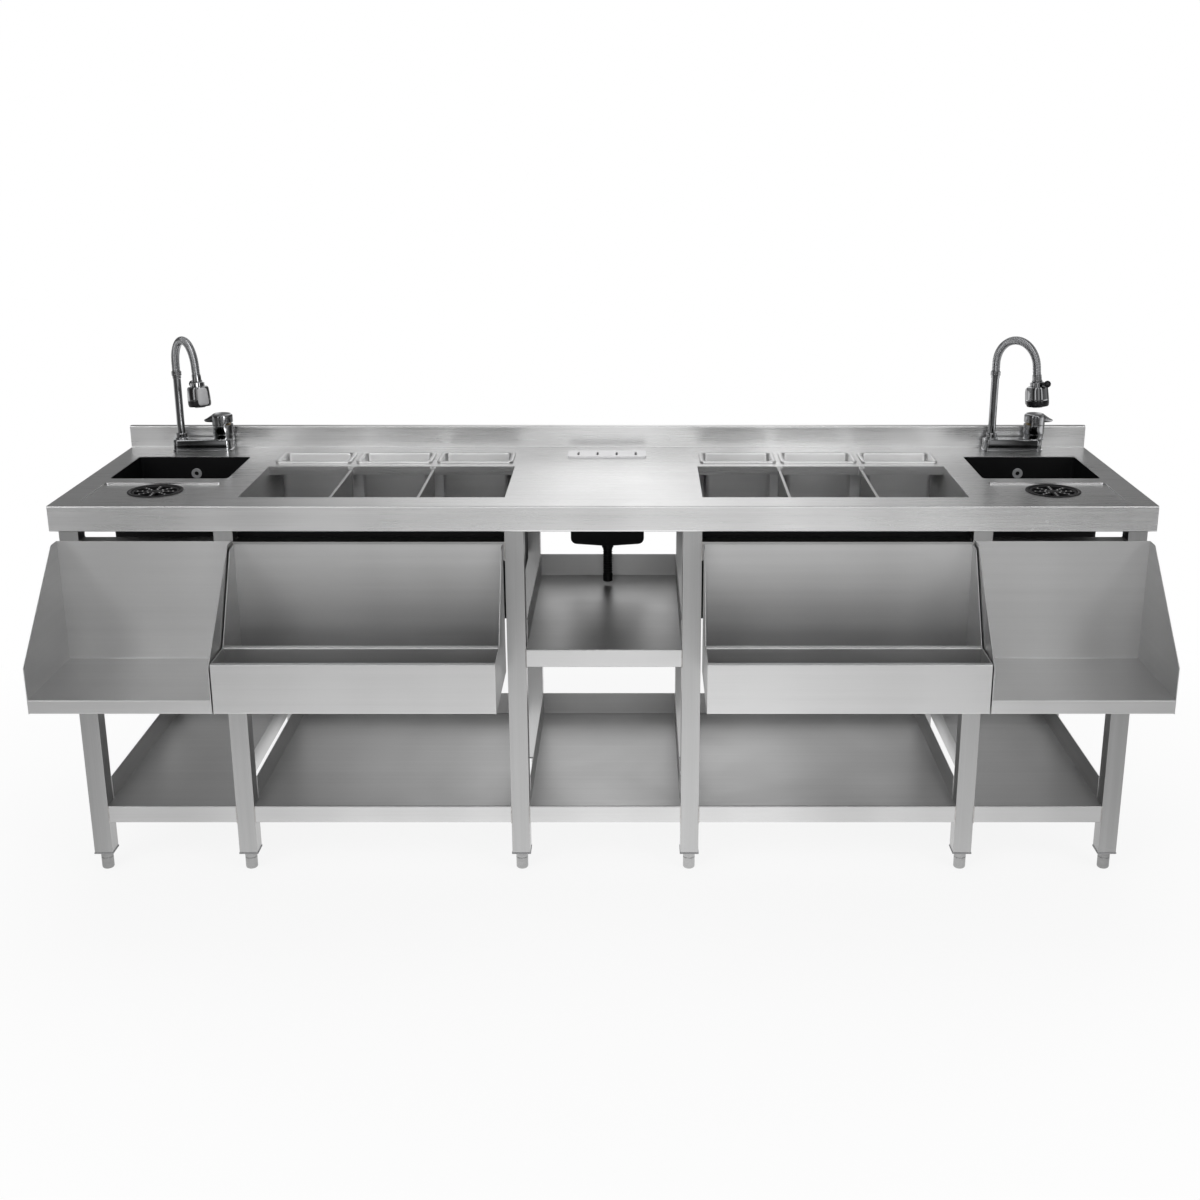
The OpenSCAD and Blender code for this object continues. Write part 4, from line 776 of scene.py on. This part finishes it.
def rinserCup(shape, plateRadius):
    cup, floor, boss, guide = plateRadius + shape["gap"], -shape["depth"], shape["boss"], shape["guide"]
    inner, flange = floor + shape["wall"], cup + shape["flangeWidth"]
    body = turned([(0, floor), (cup - 6, floor), (cup - 2, floor + 1.2), (cup, floor + 4), (cup, -0.05),
        (flange, 0), (flange, 1), (flange - 0.6, 1.7), (flange - 2, shape["lip"]), (cup - 0.4, 1.7),
        (cup - 2, 0.5), (cup - 2.5, -1.4), (cup - 2.5, inner + 4.5), (cup - 5, inner + 1), (cup - 9, inner),
        (boss, inner), (boss, shape["guideTop"] - 1), (boss - 1.2, shape["guideTop"]),
        (guide, shape["guideTop"]), (guide, inner), (0, inner)], 64)
    bore, tube, barb = shape["spigotBore"], shape["spigot"], shape["barb"]
    outline = [(bore, shape["spigotFoot"]), (tube, shape["spigotFoot"])]
    for number in range(shape["barbs"]):
        z = shape["firstBarb"] + shape["barbPitch"] * number
        outline += [(barb, z), (tube + 0.2, z + 0.2), (tube, z + 1.2)]
    outline += [(tube, shape["spigotHead"]), (barb, shape["spigotHead"] + 1), (barb, shape["spigotTop"])]
    spigot = turned(outline + [(bore, shape["spigotTop"])], 32, True)
    return body, shifted(spigot, y=cup / 2)


def makePlateTree(shape):
    tree, given = newTree("pressPlate", {"Arms": shape["arms"], "ArmWidth": shape["armWidth"] * mm,
        "ArmLength": 0.04, "ArmHeight": 0.0034, "Middle": 0.03, "JetRadius": shape["jetRadius"] * mm,
        "JetHeight": 0.0012, "Finish": None, "JetFinish": None})

    def around(count, radius, instance, lift):
        circle = made(tree, "GeometryNodeMeshCircle", {"Vertices": count, "Radius": radius})
        step = maths(tree, "DIVIDE", 2 * math.pi, count)
        turn = vector(tree, z=times(tree, made(tree, "GeometryNodeInputIndex"), step))
        return moved(tree, scattered(tree, circle, instance, Rotation=turn), vector(tree, z=lift))

    armSize = vector(tree, given["ArmLength"], given["ArmWidth"], given["ArmHeight"])
    arm = made(tree, "GeometryNodeMeshCube", {"Size": armSize})
    halfHeight = times(tree, given["ArmHeight"], 0.5)
    armLift = maths(tree, "SUBTRACT", shape["armDrop"] * mm, halfHeight)
    arms = around(given["Arms"], given["Middle"], arm, armLift)
    body = coated(tree, joined(tree, given["Geometry"], arms), given["Finish"])
    jet = made(tree, "GeometryNodeMeshCylinder", {
        "Vertices": shape["jetSides"], "Radius": given["JetRadius"], "Depth": given["JetHeight"]})
    jetRows = [around(given["Arms"], times(tree, given["Middle"], share), jet, shape["jetDrop"] * mm)
        for share in shape["jetRows"]]
    whole = joined(tree, body, coated(tree, joined(tree, *jetRows), given["JetFinish"]))
    addNode(tree, "NodeGroupOutput", {0: made(tree, "GeometryNodeRealizeInstances", {0: whole})})
    return tree


plateTree = makePlateTree(plateShape)
cupParts = []
for side in sides:
    node = f"rinser_plate_{side}"
    low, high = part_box(node)
    centre = Vector(((low.x + high.x) / 2, (low.y + high.y) / 2, high.z))
    radius = (high.x - low.x) / 2 / mm
    thick, hub, stem, stemFoot = (plateShape[key] for key in ("thickness", "hub", "stem", "stemFoot"))
    cupParts += [(placed(part, inFrame(centre)), "rinserBlack") for part in rinserCup(rinserShape, radius)]
    inner = radius - plateShape["ringWidth"]
    ring = turned([(inner, -thick), (radius, -thick), (radius, -0.8), (radius - 0.8, 0), (inner + 0.8, 0),
        (inner, -0.8)], 64, True)
    middle = turned([(0, stemFoot), (stem - 0.8, stemFoot), (stem, stemFoot + 0.8), (stem, -thick),
        (hub, -thick), (hub, -0.8), (hub - 1.2, 0), (3, 0), (2.4, -0.8), (0, -0.8)], 32)
    vertices, faces = placed(together(ring, middle), Matrix.Scale(mm, 4))
    plate = grownPiece(f"pressPlate{side.title()}", (vertices, [], faces), plateTree, {
        "ArmLength": (inner - hub + plateShape["armOverlap"]) * mm, "Middle": (inner + hub) / 2 * mm,
        "Finish": finishes["rinserBlack"], "JetFinish": finishes["panSteel"]})
    plate.data.transform(Matrix.Translation(centre))
    install(plate, node, "rinser_black", node)
install(meshPiece("rinserCups", cupParts), "frame", "rinser_black", "rinser_cups")
print("rinsers made")


# deck mixer bodies: bar on a thin base plate, lever pillar, spout pillar with its nut, threaded shanks
tapShape = {
    "halfWidth": 71, "halfDepth": 24, "corner": 15, "barHeight": 28, "baseHeight": 4, "pitch": 100,
    "pillar": 24.5, "pillarTop": 63, "neck": 23, "bore": 17.05, "spoutPillar": 15.5, "nut": 13, "nutTop": 42,
    "nutBore": 9.1, "nutSides": 12, "shank": 10, "shankWall": 3, "shankLength": 48, "shankNut": 16,
    "shankNutHeight": 7, "threadTurns": 19, "threadPitch": 2, "threadDepth": 0.9, "threadStart": 1.6,
    "sheet": 1.5,
}
tapMiddle = {side: (jointPlace[f"mixer_turn_{side}"] + jointPlace[f"spout_swivel_{side}"]) / 2
    for side in sides}
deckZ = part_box("tap_bodies")[0].z + tapShape["shankLength"] * mm


def tapBody(shape):
    wide, deep, corner, top, base = (shape[key] for key in ("halfWidth", "halfDepth", "corner", "barHeight",
        "baseHeight"))
    bar = loft([cornerRing(wide - pull, deep - pull, corner - pull, z) for pull, z in (
        (0.4, 0), (0, 0.5), (0, base - 1), (0.6, base - 0.3), (1.4, base), (2, base + 0.5), (2, top - 4),
        (2.5, top - 2), (3.6, top - 0.6), (5.4, top))])
    x, bore, nut = shape["pitch"] / 2, shape["bore"], shape["nut"]
    neck, pillar, high = shape["neck"], shape["pillar"], shape["pillarTop"]
    lever = turned([(0, top - 2), (neck + 2.4, top - 0.4), (neck + 0.9, top + 0.6), (neck, top + 2),
        (neck, 39), (neck + 0.3, 40.2), (pillar - 0.2, 41), (pillar, 41.8), (pillar, high - 0.8),
        (pillar - 0.7, high), (bore, high), (bore, 42), (0, 42)], 64)
    post = shape["spoutPillar"]
    spout = turned([(0, top - 2), (post + 2, top - 0.4), (post + 0.6, top + 0.7), (post, top + 2),
        (post, top + 2.6), (post - 0.6, top + 3), (nut - 0.6, top + 3.2), (0, top + 3.3)], 48)
    nutBore, nutTop = shape["nutBore"], shape["nutTop"]
    ringNut = turned([(nutBore, top + 3.2), (nut - 1, top + 3.2), (nut, top + 4.2), (nut, nutTop - 1.4),
        (nut - 1.2, nutTop), (nutBore, nutTop)], shape["nutSides"], True)
    shank, core = shape["shank"], shape["shank"] - shape["shankWall"]
    foot, under, flat = -shape["shankLength"], -shape["sheet"], shape["shankNut"]
    thread = [(core, foot), (shank - 1, foot)]
    for number in range(shape["threadTurns"]):
        z = foot + shape["threadStart"] + shape["threadPitch"] * number
        thread += [(shank, z), (shank - shape["threadDepth"], z + shape["threadPitch"] / 2)]
    thread = turned(thread + [(shank, -9), (shank, 1), (core, 1)], 24, True)
    nutFoot = under - shape["shankNutHeight"]
    hexNut = turned([(shank, nutFoot), (flat - 1, nutFoot), (flat, nutFoot + 1), (flat, under - 1.2),
        (flat - 0.6, under), (shank, under)], 6, True)
    parts = [bar, shifted(lever, x), shifted(spout, -x), shifted(ringNut, -x)]
    return parts + [shifted(part, place) for place in (-x, x) for part in (thread, hexNut)]


tapParts = []
for side in sides:
    place = inFrame((tapMiddle[side].x, tapMiddle[side].y, deckZ))
    tapParts += [(placed(part, place), "tapChrome") for part in tapBody(tapShape)]
install(meshPiece("tapBodies", tapParts, 30), "frame", "tap_chrome", "tap_bodies")
print("tap bodies made")


# levers: a flat-topped cap with a beaked nose; the skirt is cut back behind, where the lever tips
leverShape = {
    "low": 63.3, "top": 88, "radius": 24.5, "round": 6, "cavity": 20.5, "cavityTop": 84, "reliefX": -12,
    "reliefZ": 68, "dishInset": 2.5, "dishDepth": 0.35, "dotRadius": 2.6, "dotHeight": 76, "dotAngle": -90,
    "dotFrom": 24.2,
    # sections along the nose: x, half width, underside, top
    "nose": ((12, 15.5, 68.5, 85.8), (20, 14.2, 68.3, 85.4), (25, 12.6, 68.2, 84.2), (30, 10.8, 68.2, 81),
        (35, 8.8, 68.4, 77.6), (39, 6.8, 68.9, 75.4), (41.6, 5, 69.9, 74.3), (43, 2.8, 71, 73.4)),
    "noseRound": 0.62,
}


def leverCap(shape, count=72):
    def skirt(radius):
        ring = []
        for step in range(count):
            angle = 2 * math.pi * step / count
            x = radius * math.cos(angle)
            z = shape["reliefZ"] if x < shape["reliefX"] else shape["low"]
            ring.append(Vector((x, radius * math.sin(angle), z)))
        return ring

    radius, top, bend = shape["radius"], shape["top"], shape["round"]
    cavity, cavityTop, dish = shape["cavity"], shape["cavityTop"], radius - bend - shape["dishInset"]
    rings = [[Vector((0, 0, cavityTop))] * count, roundRing(cavity - 2, cavityTop, count),
        roundRing(cavity, cavityTop - 2, count), skirt(cavity), skirt(radius - 0.5)]
    rings.append([point + Vector((0, 0, 0.6)) for point in skirt(radius)])
    for angle in (0, 15, 30, 45, 60, 75, 90):
        tilt = math.radians(angle)
        rings.append(roundRing(radius - bend + bend * math.cos(tilt), top - bend + bend * math.sin(tilt),
            count))
    floor = top - shape["dishDepth"]
    rings += [roundRing(dish, top - 0.05, count), roundRing(dish - 0.5, floor, count),
        [Vector((0, 0, floor))] * count]
    return loft(rings)


def leverNose(shape):
    rings = []
    for x, halfWidth, under, over in shape["nose"]:
        middle, halfHeight = (under + over) / 2, (over - under) / 2
        corner = min(halfWidth, halfHeight) * shape["noseRound"]
        section = cornerRing(halfWidth, halfHeight, corner, 0, 4)
        rings.append([Vector((x, point.x, middle + point.y)) for point in section])
    return loft(rings)


def leverDot(shape, sign):
    radius, start = shape["dotRadius"], shape["dotFrom"]
    dot = turned([(0, start), (radius, start), (radius, start + 0.5), (radius - 0.6, start + 0.8),
        (0, start + 0.9)], 24)
    turn = rotation(shape["dotAngle"] * -sign, "Z") @ rotation(90, "Y")
    return shifted(placed(dot, turn), z=shape["dotHeight"])


for side, sign in sides.items():
    turn = rotation(180 if sign < 0 else 0, "Z")
    pivot = jointPlace[f"mixer_turn_{side}"]
    place = inFrame((pivot.x, pivot.y, deckZ), turn)
    parts = ((leverCap(leverShape), "tapChrome"), (leverNose(leverShape), "tapChrome"),
        (leverDot(leverShape, sign), "hoseChrome"))
    lever = meshPiece(f"lever{side.title()}", [(placed(part, place), finish) for part, finish in parts], 32)
    install(lever, f"lever_{side}", "tap_chrome", f"lever_{side}")
print("levers made")


# spouts: riser with two collars, ribbed gooseneck, ferrule
neckShape = {
    "turn": -53, "tilt": 7, "bend": 60, "straight": 19, "riserTop": 189, "riserFoot": 16.3, "riser": 9,
    "riserBore": 7, "ribs": 64, "ribRadius": 9.5, "rootRadius": 8.5, "ribSharpness": 0.55, "samples": 240,
    # outlines as (radius beyond the riser, height below its top) and (radius, height) from the hose's end
    "collars": ((0, -17), (0.5, -16.6), (1, -16), (1, -10.6), (1.9, -10), (2.5, -9.4), (2.5, -5.4), (2.1, -5),
        (2.1, -4.6), (2.5, -4.2), (2.5, -0.6), (1.9, 0)),
    "ferrule": ((0, -23), (4.4, -23), (5, -22.4), (5, -15.2), (11.4, -15), (12, -14.4), (12, -12.4),
        (11.4, -12), (10.5, -11.8), (10.5, -3.4), (10.1, -3), (10.1, -2.6), (10.5, -2.2), (10.5, -0.6),
        (9.9, 0), (0, 0)),
}


def neckPath(shape):
    sweep = 180 - shape["tilt"]
    arc = shape["bend"] * math.radians(sweep)
    length = 2 * shape["straight"] + arc
    points = []
    for step in range(shape["samples"] + 1):
        s = length * step / shape["samples"]
        if s < shape["straight"]:
            points.append(Vector((0, 0, s)))
            continue
        bent = min(s - shape["straight"], arc)
        angle = math.radians(180) - bent / shape["bend"]
        point = Vector((shape["bend"] * (1 + math.cos(angle)), 0,
            shape["straight"] + shape["bend"] * math.sin(angle)))
        rest = s - shape["straight"] - bent
        tilt = math.radians(shape["tilt"])
        points.append(point + rest * Vector((math.sin(tilt), 0, -math.cos(tilt))))
    return points


def makeHoseTree(shape):
    tree, given = newTree("ribbedHose", {"Ribs": shape["ribs"], "RibRadius": shape["ribRadius"] * mm,
        "RootRadius": shape["rootRadius"] * mm, "StepsPerRib": 6, "Sides": 24, "Finish": None})
    line = made(tree, "GeometryNodeMeshToCurve", {0: given["Geometry"]})
    count = plus(tree, times(tree, given["Ribs"], given["StepsPerRib"]), 1.0)
    even = made(tree, "GeometryNodeResampleCurve", {"Curve": line, "Count": count})
    phase = maths(tree, "DIVIDE", made(tree, "GeometryNodeInputIndex"), given["StepsPerRib"])
    swing = maths(tree, "ABSOLUTE", maths(tree, "SINE", times(tree, phase, math.pi)))
    wave = maths(tree, "POWER", swing, shape["ribSharpness"])
    radius = spread(tree, wave, 0.0, 1.0, given["RootRadius"], given["RibRadius"])
    profile = made(tree, "GeometryNodeCurvePrimitiveCircle", {"Resolution": given["Sides"], "Radius": 1.0})
    hose = made(tree, "GeometryNodeCurveToMesh", {"Curve": even, "Profile Curve": profile, "Scale": radius,
        "Fill Caps": True})
    endTree(tree, hose, given["Finish"])
    return tree


hoseTree = makeHoseTree(neckShape)


def spoutFrame(side):
    pivot = jointPlace[f"spout_swivel_{side}"]
    return Matrix.Translation((pivot.x, pivot.y, deckZ)) @ rotation(neckShape["turn"], "Z")


def sprayFrame(side):
    end = neckPath(neckShape)[-1] + Vector((0, 0, neckShape["riserTop"]))
    return spoutFrame(side) @ Matrix.Translation(end * mm) @ rotation(-neckShape["tilt"], "Y")


for side in sides:
    top, riser, bore, foot = (neckShape[key] for key in ("riserTop", "riser", "riserBore", "riserFoot"))
    collars = [(riser + out, top + z) for out, z in neckShape["collars"]]
    tube = turned([(bore, foot), (riser, foot), *collars, (bore, top)], 40, True)
    ferrule = turned(neckShape["ferrule"], 40)
    metres = Matrix.Scale(mm, 4)
    spout = meshPiece(f"spout{side.title()}", [
        (placed(tube, spoutFrame(side) @ metres), "tapChrome"),
        (placed(ferrule, sprayFrame(side) @ metres), "tapChrome")], 32)
    install(spout, f"spout_{side}", "tap_chrome", f"spout_{side}")
    path = [spoutFrame(side) @ ((point + Vector((0, 0, top))) * mm) for point in neckPath(neckShape)]
    links = [(i, i + 1) for i in range(len(path) - 1)]
    chrome = {"Finish": finishes["hoseChrome"]}
    hose = grownPiece(f"gooseneck{side.title()}", (path, links, []), hoseTree, chrome, 50)
    install(hose, f"spout_{side}", "hose_chrome", f"gooseneck_{side}")
print("spouts bent")


# spray heads: lobed collar, bell, black ring, nozzle with jets, thumb paddle
headShape = {
    "top": -15.3, "collar": 16, "collarLength": 11, "bellLength": 32, "ringLength": 14, "bell": 26,
    "nozzle": 13, "nozzleLength": 2, "lobes": 10, "lobeDepth": 1.1, "paddleWidth": 24, "paddleOut": 29,
    "paddleIn": 24, "paddleEnds": 3,
    # outline of the paddle's face: share of its height, outwards, share of its width
    "paddle": ((0, -2.4, 0.62), (0.03, -1, 0.8), (0.09, -0.2, 0.95), (0.2, 0, 1), (0.75, -0.5, 0.96),
        (0.9, -1.1, 0.86), (0.97, -2, 0.7), (1, -3, 0.5)),
    "knobRadius": 8, "knobReach": 29.5, "knobStem": 3, "knobRoot": 11.3,
}


def sprayParts(shape, sign):
    top, bell, collar, nozzle = shape["top"], shape["bell"], shape["collar"], shape["nozzle"]
    shoulder = top - shape["collarLength"]
    waist = shoulder - shape["bellLength"]
    foot = waist - shape["ringLength"]
    lobed = turned([(0, top), (11.5, top), (14.4, top - 1), (collar, top - 2.6), (collar, shoulder + 1),
        (15, shoulder), (0, shoulder)], 60, lobes=shape["lobes"], lobeDepth=shape["lobeDepth"])
    body = turned([(0, shoulder), (14, shoulder), (20.5, shoulder - 0.2), (22.8, shoulder - 1.4),
        (24, shoulder - 3.6), (24.7, shoulder - 9), (25.3, shoulder - 18), (25.9, waist + 4),
        (bell, waist + 1), (25.6, waist + 0.2), (24.9, waist), (0, waist)], 64)
    ring = turned([(0, waist), (25.2, waist), (25.9, waist - 0.7), (25.9, waist - 7), (25.2, foot + 2.6),
        (24.2, foot + 0.8), (22.6, foot), (nozzle + 2, foot), (nozzle + 1.4, foot + 1), (0, foot + 1)], 64)
    tip = foot - shape["nozzleLength"]
    outlet = turned([(0, foot + 1), (nozzle, foot + 1), (nozzle, foot - 1.2), (nozzle - 0.9, tip), (0, tip)],
        48)

    def arc(radius, half):
        return [(math.sqrt(radius ** 2 - (half * k / 4) ** 2), half * k / 4) for k in range(-4, 5)]

    rings = []
    low, high = foot + shape["paddleEnds"], shoulder - shape["paddleEnds"]
    for share, out, width in shape["paddle"]:
        half = shape["paddleWidth"] / 2 * width
        outline = arc(shape["paddleOut"] + out, half) + arc(shape["paddleIn"], half)[::-1]
        rings.append([Vector((x, y, low + (high - low) * share)) for x, y in outline])
    paddle = placed(loft(rings), rotation(0 if sign < 0 else 180, "Z"))
    return [(lobed, "tapChrome"), (body, "tapChrome"), (ring, "knobBlack"), (outlet, "paddleGrey"),
        (paddle, "paddleGrey")]


def makeJetTree(rowCount):
    tree, given = newTree("sprayJets", {"Spacing": 0.0034, "JetRadius": 0.0007, "JetLength": 0.0012,
        "Finish": None})
    jet = made(tree, "GeometryNodeMeshCylinder", {"Vertices": 8, "Radius": given["JetRadius"],
        "Depth": given["JetLength"]})
    rows = []
    for row in range(1, rowCount + 1):
        radius = times(tree, given["Spacing"], float(row))
        circle = made(tree, "GeometryNodeMeshCircle", {"Vertices": 6 * row, "Radius": radius})
        rows.append(scattered(tree, circle, jet))
    endTree(tree, joined(tree, *rows), given["Finish"])
    return tree


jetTree = makeJetTree(3)
for side, sign in sides.items():
    place = sprayFrame(side) @ Matrix.Scale(mm, 4)
    parts = [(placed(part, place), finish) for part, finish in sprayParts(headShape, sign)]
    head = meshPiece(f"sprayHead{side.title()}", parts, 32)
    install(head, f"spray_head_{side}", "tap_chrome", f"spray_head_{side}")
    black = {"Finish": finishes["knobBlack"]}
    jets = grownPiece(f"sprayJets{side.title()}", ([(0, 0, 0)], [], []), jetTree, black)
    lengths = (headShape[key] for key in ("collarLength", "bellLength", "ringLength", "nozzleLength"))
    foot = headShape["top"] - sum(lengths)
    jets.data.transform(sprayFrame(side) @ Matrix.Translation((0, 0, foot * mm)))
    install(jets, f"spray_head_{side}", "knob_black")
    reach, ball, stem, root = (headShape[key] for key in ("knobReach", "knobRadius", "knobStem", "knobRoot"))
    profile = [(0, root), (stem, root), (stem, reach - ball + 0.6)]
    for angle in range(24, 180, 12):
        profile.append((ball * math.sin(math.radians(angle)), reach - ball * math.cos(math.radians(angle))))
    profile.append((0, reach + ball))
    middle = headShape["top"] - headShape["collarLength"] / 2
    aim = Matrix.Translation((0, 0, middle)) @ rotation(sign * 90, "Y")
    knob = meshPiece(f"diverterKnob{side.title()}", [(placed(turned(profile, 40), place @ aim), "knobBlack")])
    install(knob, f"diverter_knob_{side}", "knob_black", f"diverter_knob_{side}")
print("spray heads made")


# bullet feet, and the plastic plugs in the leg ends
footShape = {
    "radius": 13.25, "nose": 4.6, "grooveFrom": 27, "grooveTo": 29, "grooveDepth": 0.7, "top": 41.7,
    "chamfer": 1.5, "thread": 5, "threadTop": 70, "threadTurns": 18, "threadPitch": 1.5, "threadStart": 0.4,
    "threadDepth": 0.8,
}


def footProfile(shape):
    radius, nose, groove = shape["radius"], shape["nose"], shape["radius"] - shape["grooveDepth"]
    low, high, top, thread = shape["grooveFrom"], shape["grooveTo"], shape["top"], shape["thread"]
    profile = [(0, 0), (radius - nose, 0)]
    for angle in range(15, 91, 15):
        tilt = math.radians(angle)
        profile.append((radius - nose + nose * math.sin(tilt), nose - nose * math.cos(tilt)))
    profile += [(radius, low), (groove, low + 0.6), (groove, high - 0.6), (radius, high)]
    profile += [(radius, top - shape["chamfer"]), (radius - shape["chamfer"], top), (thread, top)]
    core = thread - shape["threadDepth"]
    for number in range(shape["threadTurns"]):
        z = top + shape["threadStart"] + shape["threadPitch"] * number
        profile += [(thread, z), (core, z + shape["threadPitch"] / 2)]
    return profile + [(core, shape["threadTop"]), (0, shape["threadTop"])]


legSpots = []
for name in sorted(frame["bodies"]):
    if name.startswith("foot_"):
        spot = jointPlace[f"{name}_screw"]
        legSpots.append(Vector((spot.x, spot.y, spot.z)))
        foot = placed(turned(footProfile(footShape), 40), inFrame((spot.x, spot.y, 0)))
        foot = meshPiece("foot" + name[4:].title().replace("_", ""), [(foot, "footMetal")])
        install(foot, name, "foot_metal", name)


def makePlugTree():
    tree, given = newTree("legPlugs", {"Width": 0.042, "Height": 0.003, "Finish": None})
    size = vector(tree, given["Width"], given["Width"], given["Height"])
    plug = made(tree, "GeometryNodeMeshCube", {"Size": size})
    raised = moved(tree, plug, vector(tree, z=times(tree, given["Height"], 0.5)))
    endTree(tree, scattered(tree, given["Geometry"], raised), given["Finish"])
    return tree


plugs = grownPiece("legPlugs", (legSpots, [], []), makePlugTree(), {"Finish": finishes["plugGrey"]})
install(plugs, "frame", "frame_steel")
print("feet turned")


# weld beads where rails and shelves meet the legs
weldShape = {
    "pitch": 0.0021, "radius": 0.0017, "least": 0.8, "most": 1.15, "seed": 7, "legHalf": 0.02,
    "railTop": 0.763, "shelfTop": 0.158, "midShelfTop": 0.524, "openBay": 2,
}


def makeWeldTree(shape):
    tree, given = newTree("weldBeads", {"Pitch": shape["pitch"], "Radius": shape["radius"], "Finish": None})
    line = made(tree, "GeometryNodeMeshToCurve", {0: given["Geometry"]})
    even = made(tree, "GeometryNodeResampleCurve", {"Curve": line, "Length": given["Pitch"]}, mode="LENGTH")
    bead = made(tree, "GeometryNodeMeshIcoSphere", {"Radius": given["Radius"], "Subdivisions": 1})
    wobble = made(tree, "FunctionNodeRandomValue", {
        0: (shape["least"],) * 3, 1: (shape["most"],) * 3, "Seed": shape["seed"]}, data_type="FLOAT_VECTOR")
    endTree(tree, scattered(tree, even, bead, Scale=wobble), given["Finish"])
    return tree


def weldSeams(shape):
    legX = sorted({round(spot.x, 4) for spot in legSpots})
    half, leg = shape["legHalf"], 2 * shape["legHalf"]
    y0 = min(spot.y for spot in legSpots) - half
    y1 = y0 + leg
    points, edges = [], []

    def seam(*corners):
        start = len(points)
        points.extend(corners)
        edges.extend((start + i, start + i + 1) for i in range(len(corners) - 1))

    rail, shelf, midShelf = shape["railTop"], shape["shelfTop"], shape["midShelfTop"]
    for bay in range(len(legX) - 1):
        for x in (legX[bay] + half, legX[bay + 1] - half):
            if bay != shape["openBay"]:
                seam((x, y0, rail - leg), (x, y0, rail), (x, y1, rail), (x, y1, rail - leg),
                    (x, y0, rail - leg))
            seam((x, y0, shelf - leg), (x, y0, shelf))
            if bay == shape["openBay"]:
                seam((x, y0, midShelf - leg), (x, y0, midShelf))
    return points, edges, []


welds = grownPiece("weldBeads", weldSeams(weldShape), makeWeldTree(weldShape),
    {"Finish": finishes["weldSteel"]})
install(welds, "frame", "frame_steel")
print("seams welded")


# CAD nodes that keep their own shape, by the finish that they get here
keptNodes = {
    "worktopSteel": ["worktop"],
    "frameSteel": ["legs"],
    "railSteel": ["frame_rails"],
    "shelfSteel": ["end_shelves", "ice_bay_shelves", "centre_shelf", "ice_divider_1", "ice_divider_2",
        "ice_divider_3", "ice_divider_4"],
    "rackSteel": ["mid_shelf", "speed_rail_left", "speed_rail_right", "bottle_dividers", "blender_shelf_left",
        "blender_shelf_right"],
    "wasteChrome": ["waste_kits", "ice_drains"],
    "wellSteel": ["ice_liner_left", "ice_liner_right"],
    "jacketFoam": ["ice_jackets", "knife_well"],
    "knifeWhite": ["knife_plate"],
    "rinserBlack": ["drain_hose"],
    "cartridgeBrass": ["cartridge_left", "cartridge_right"],
}
finished = []
for finish, names in keptNodes.items():
    for name in names:
        node = nodes[name]
        if not node.material_slots:
            node.data.materials.append(finishes[finish])
        for index in range(len(node.material_slots)):
            node.material_slots[index].material = finishes[finish]
        finished.append(name)
left = sorted(name for name in nodes if name not in finished and not nodes[name].hide_render)
print("nodes finished:", len(finished), "left as they are:", left)
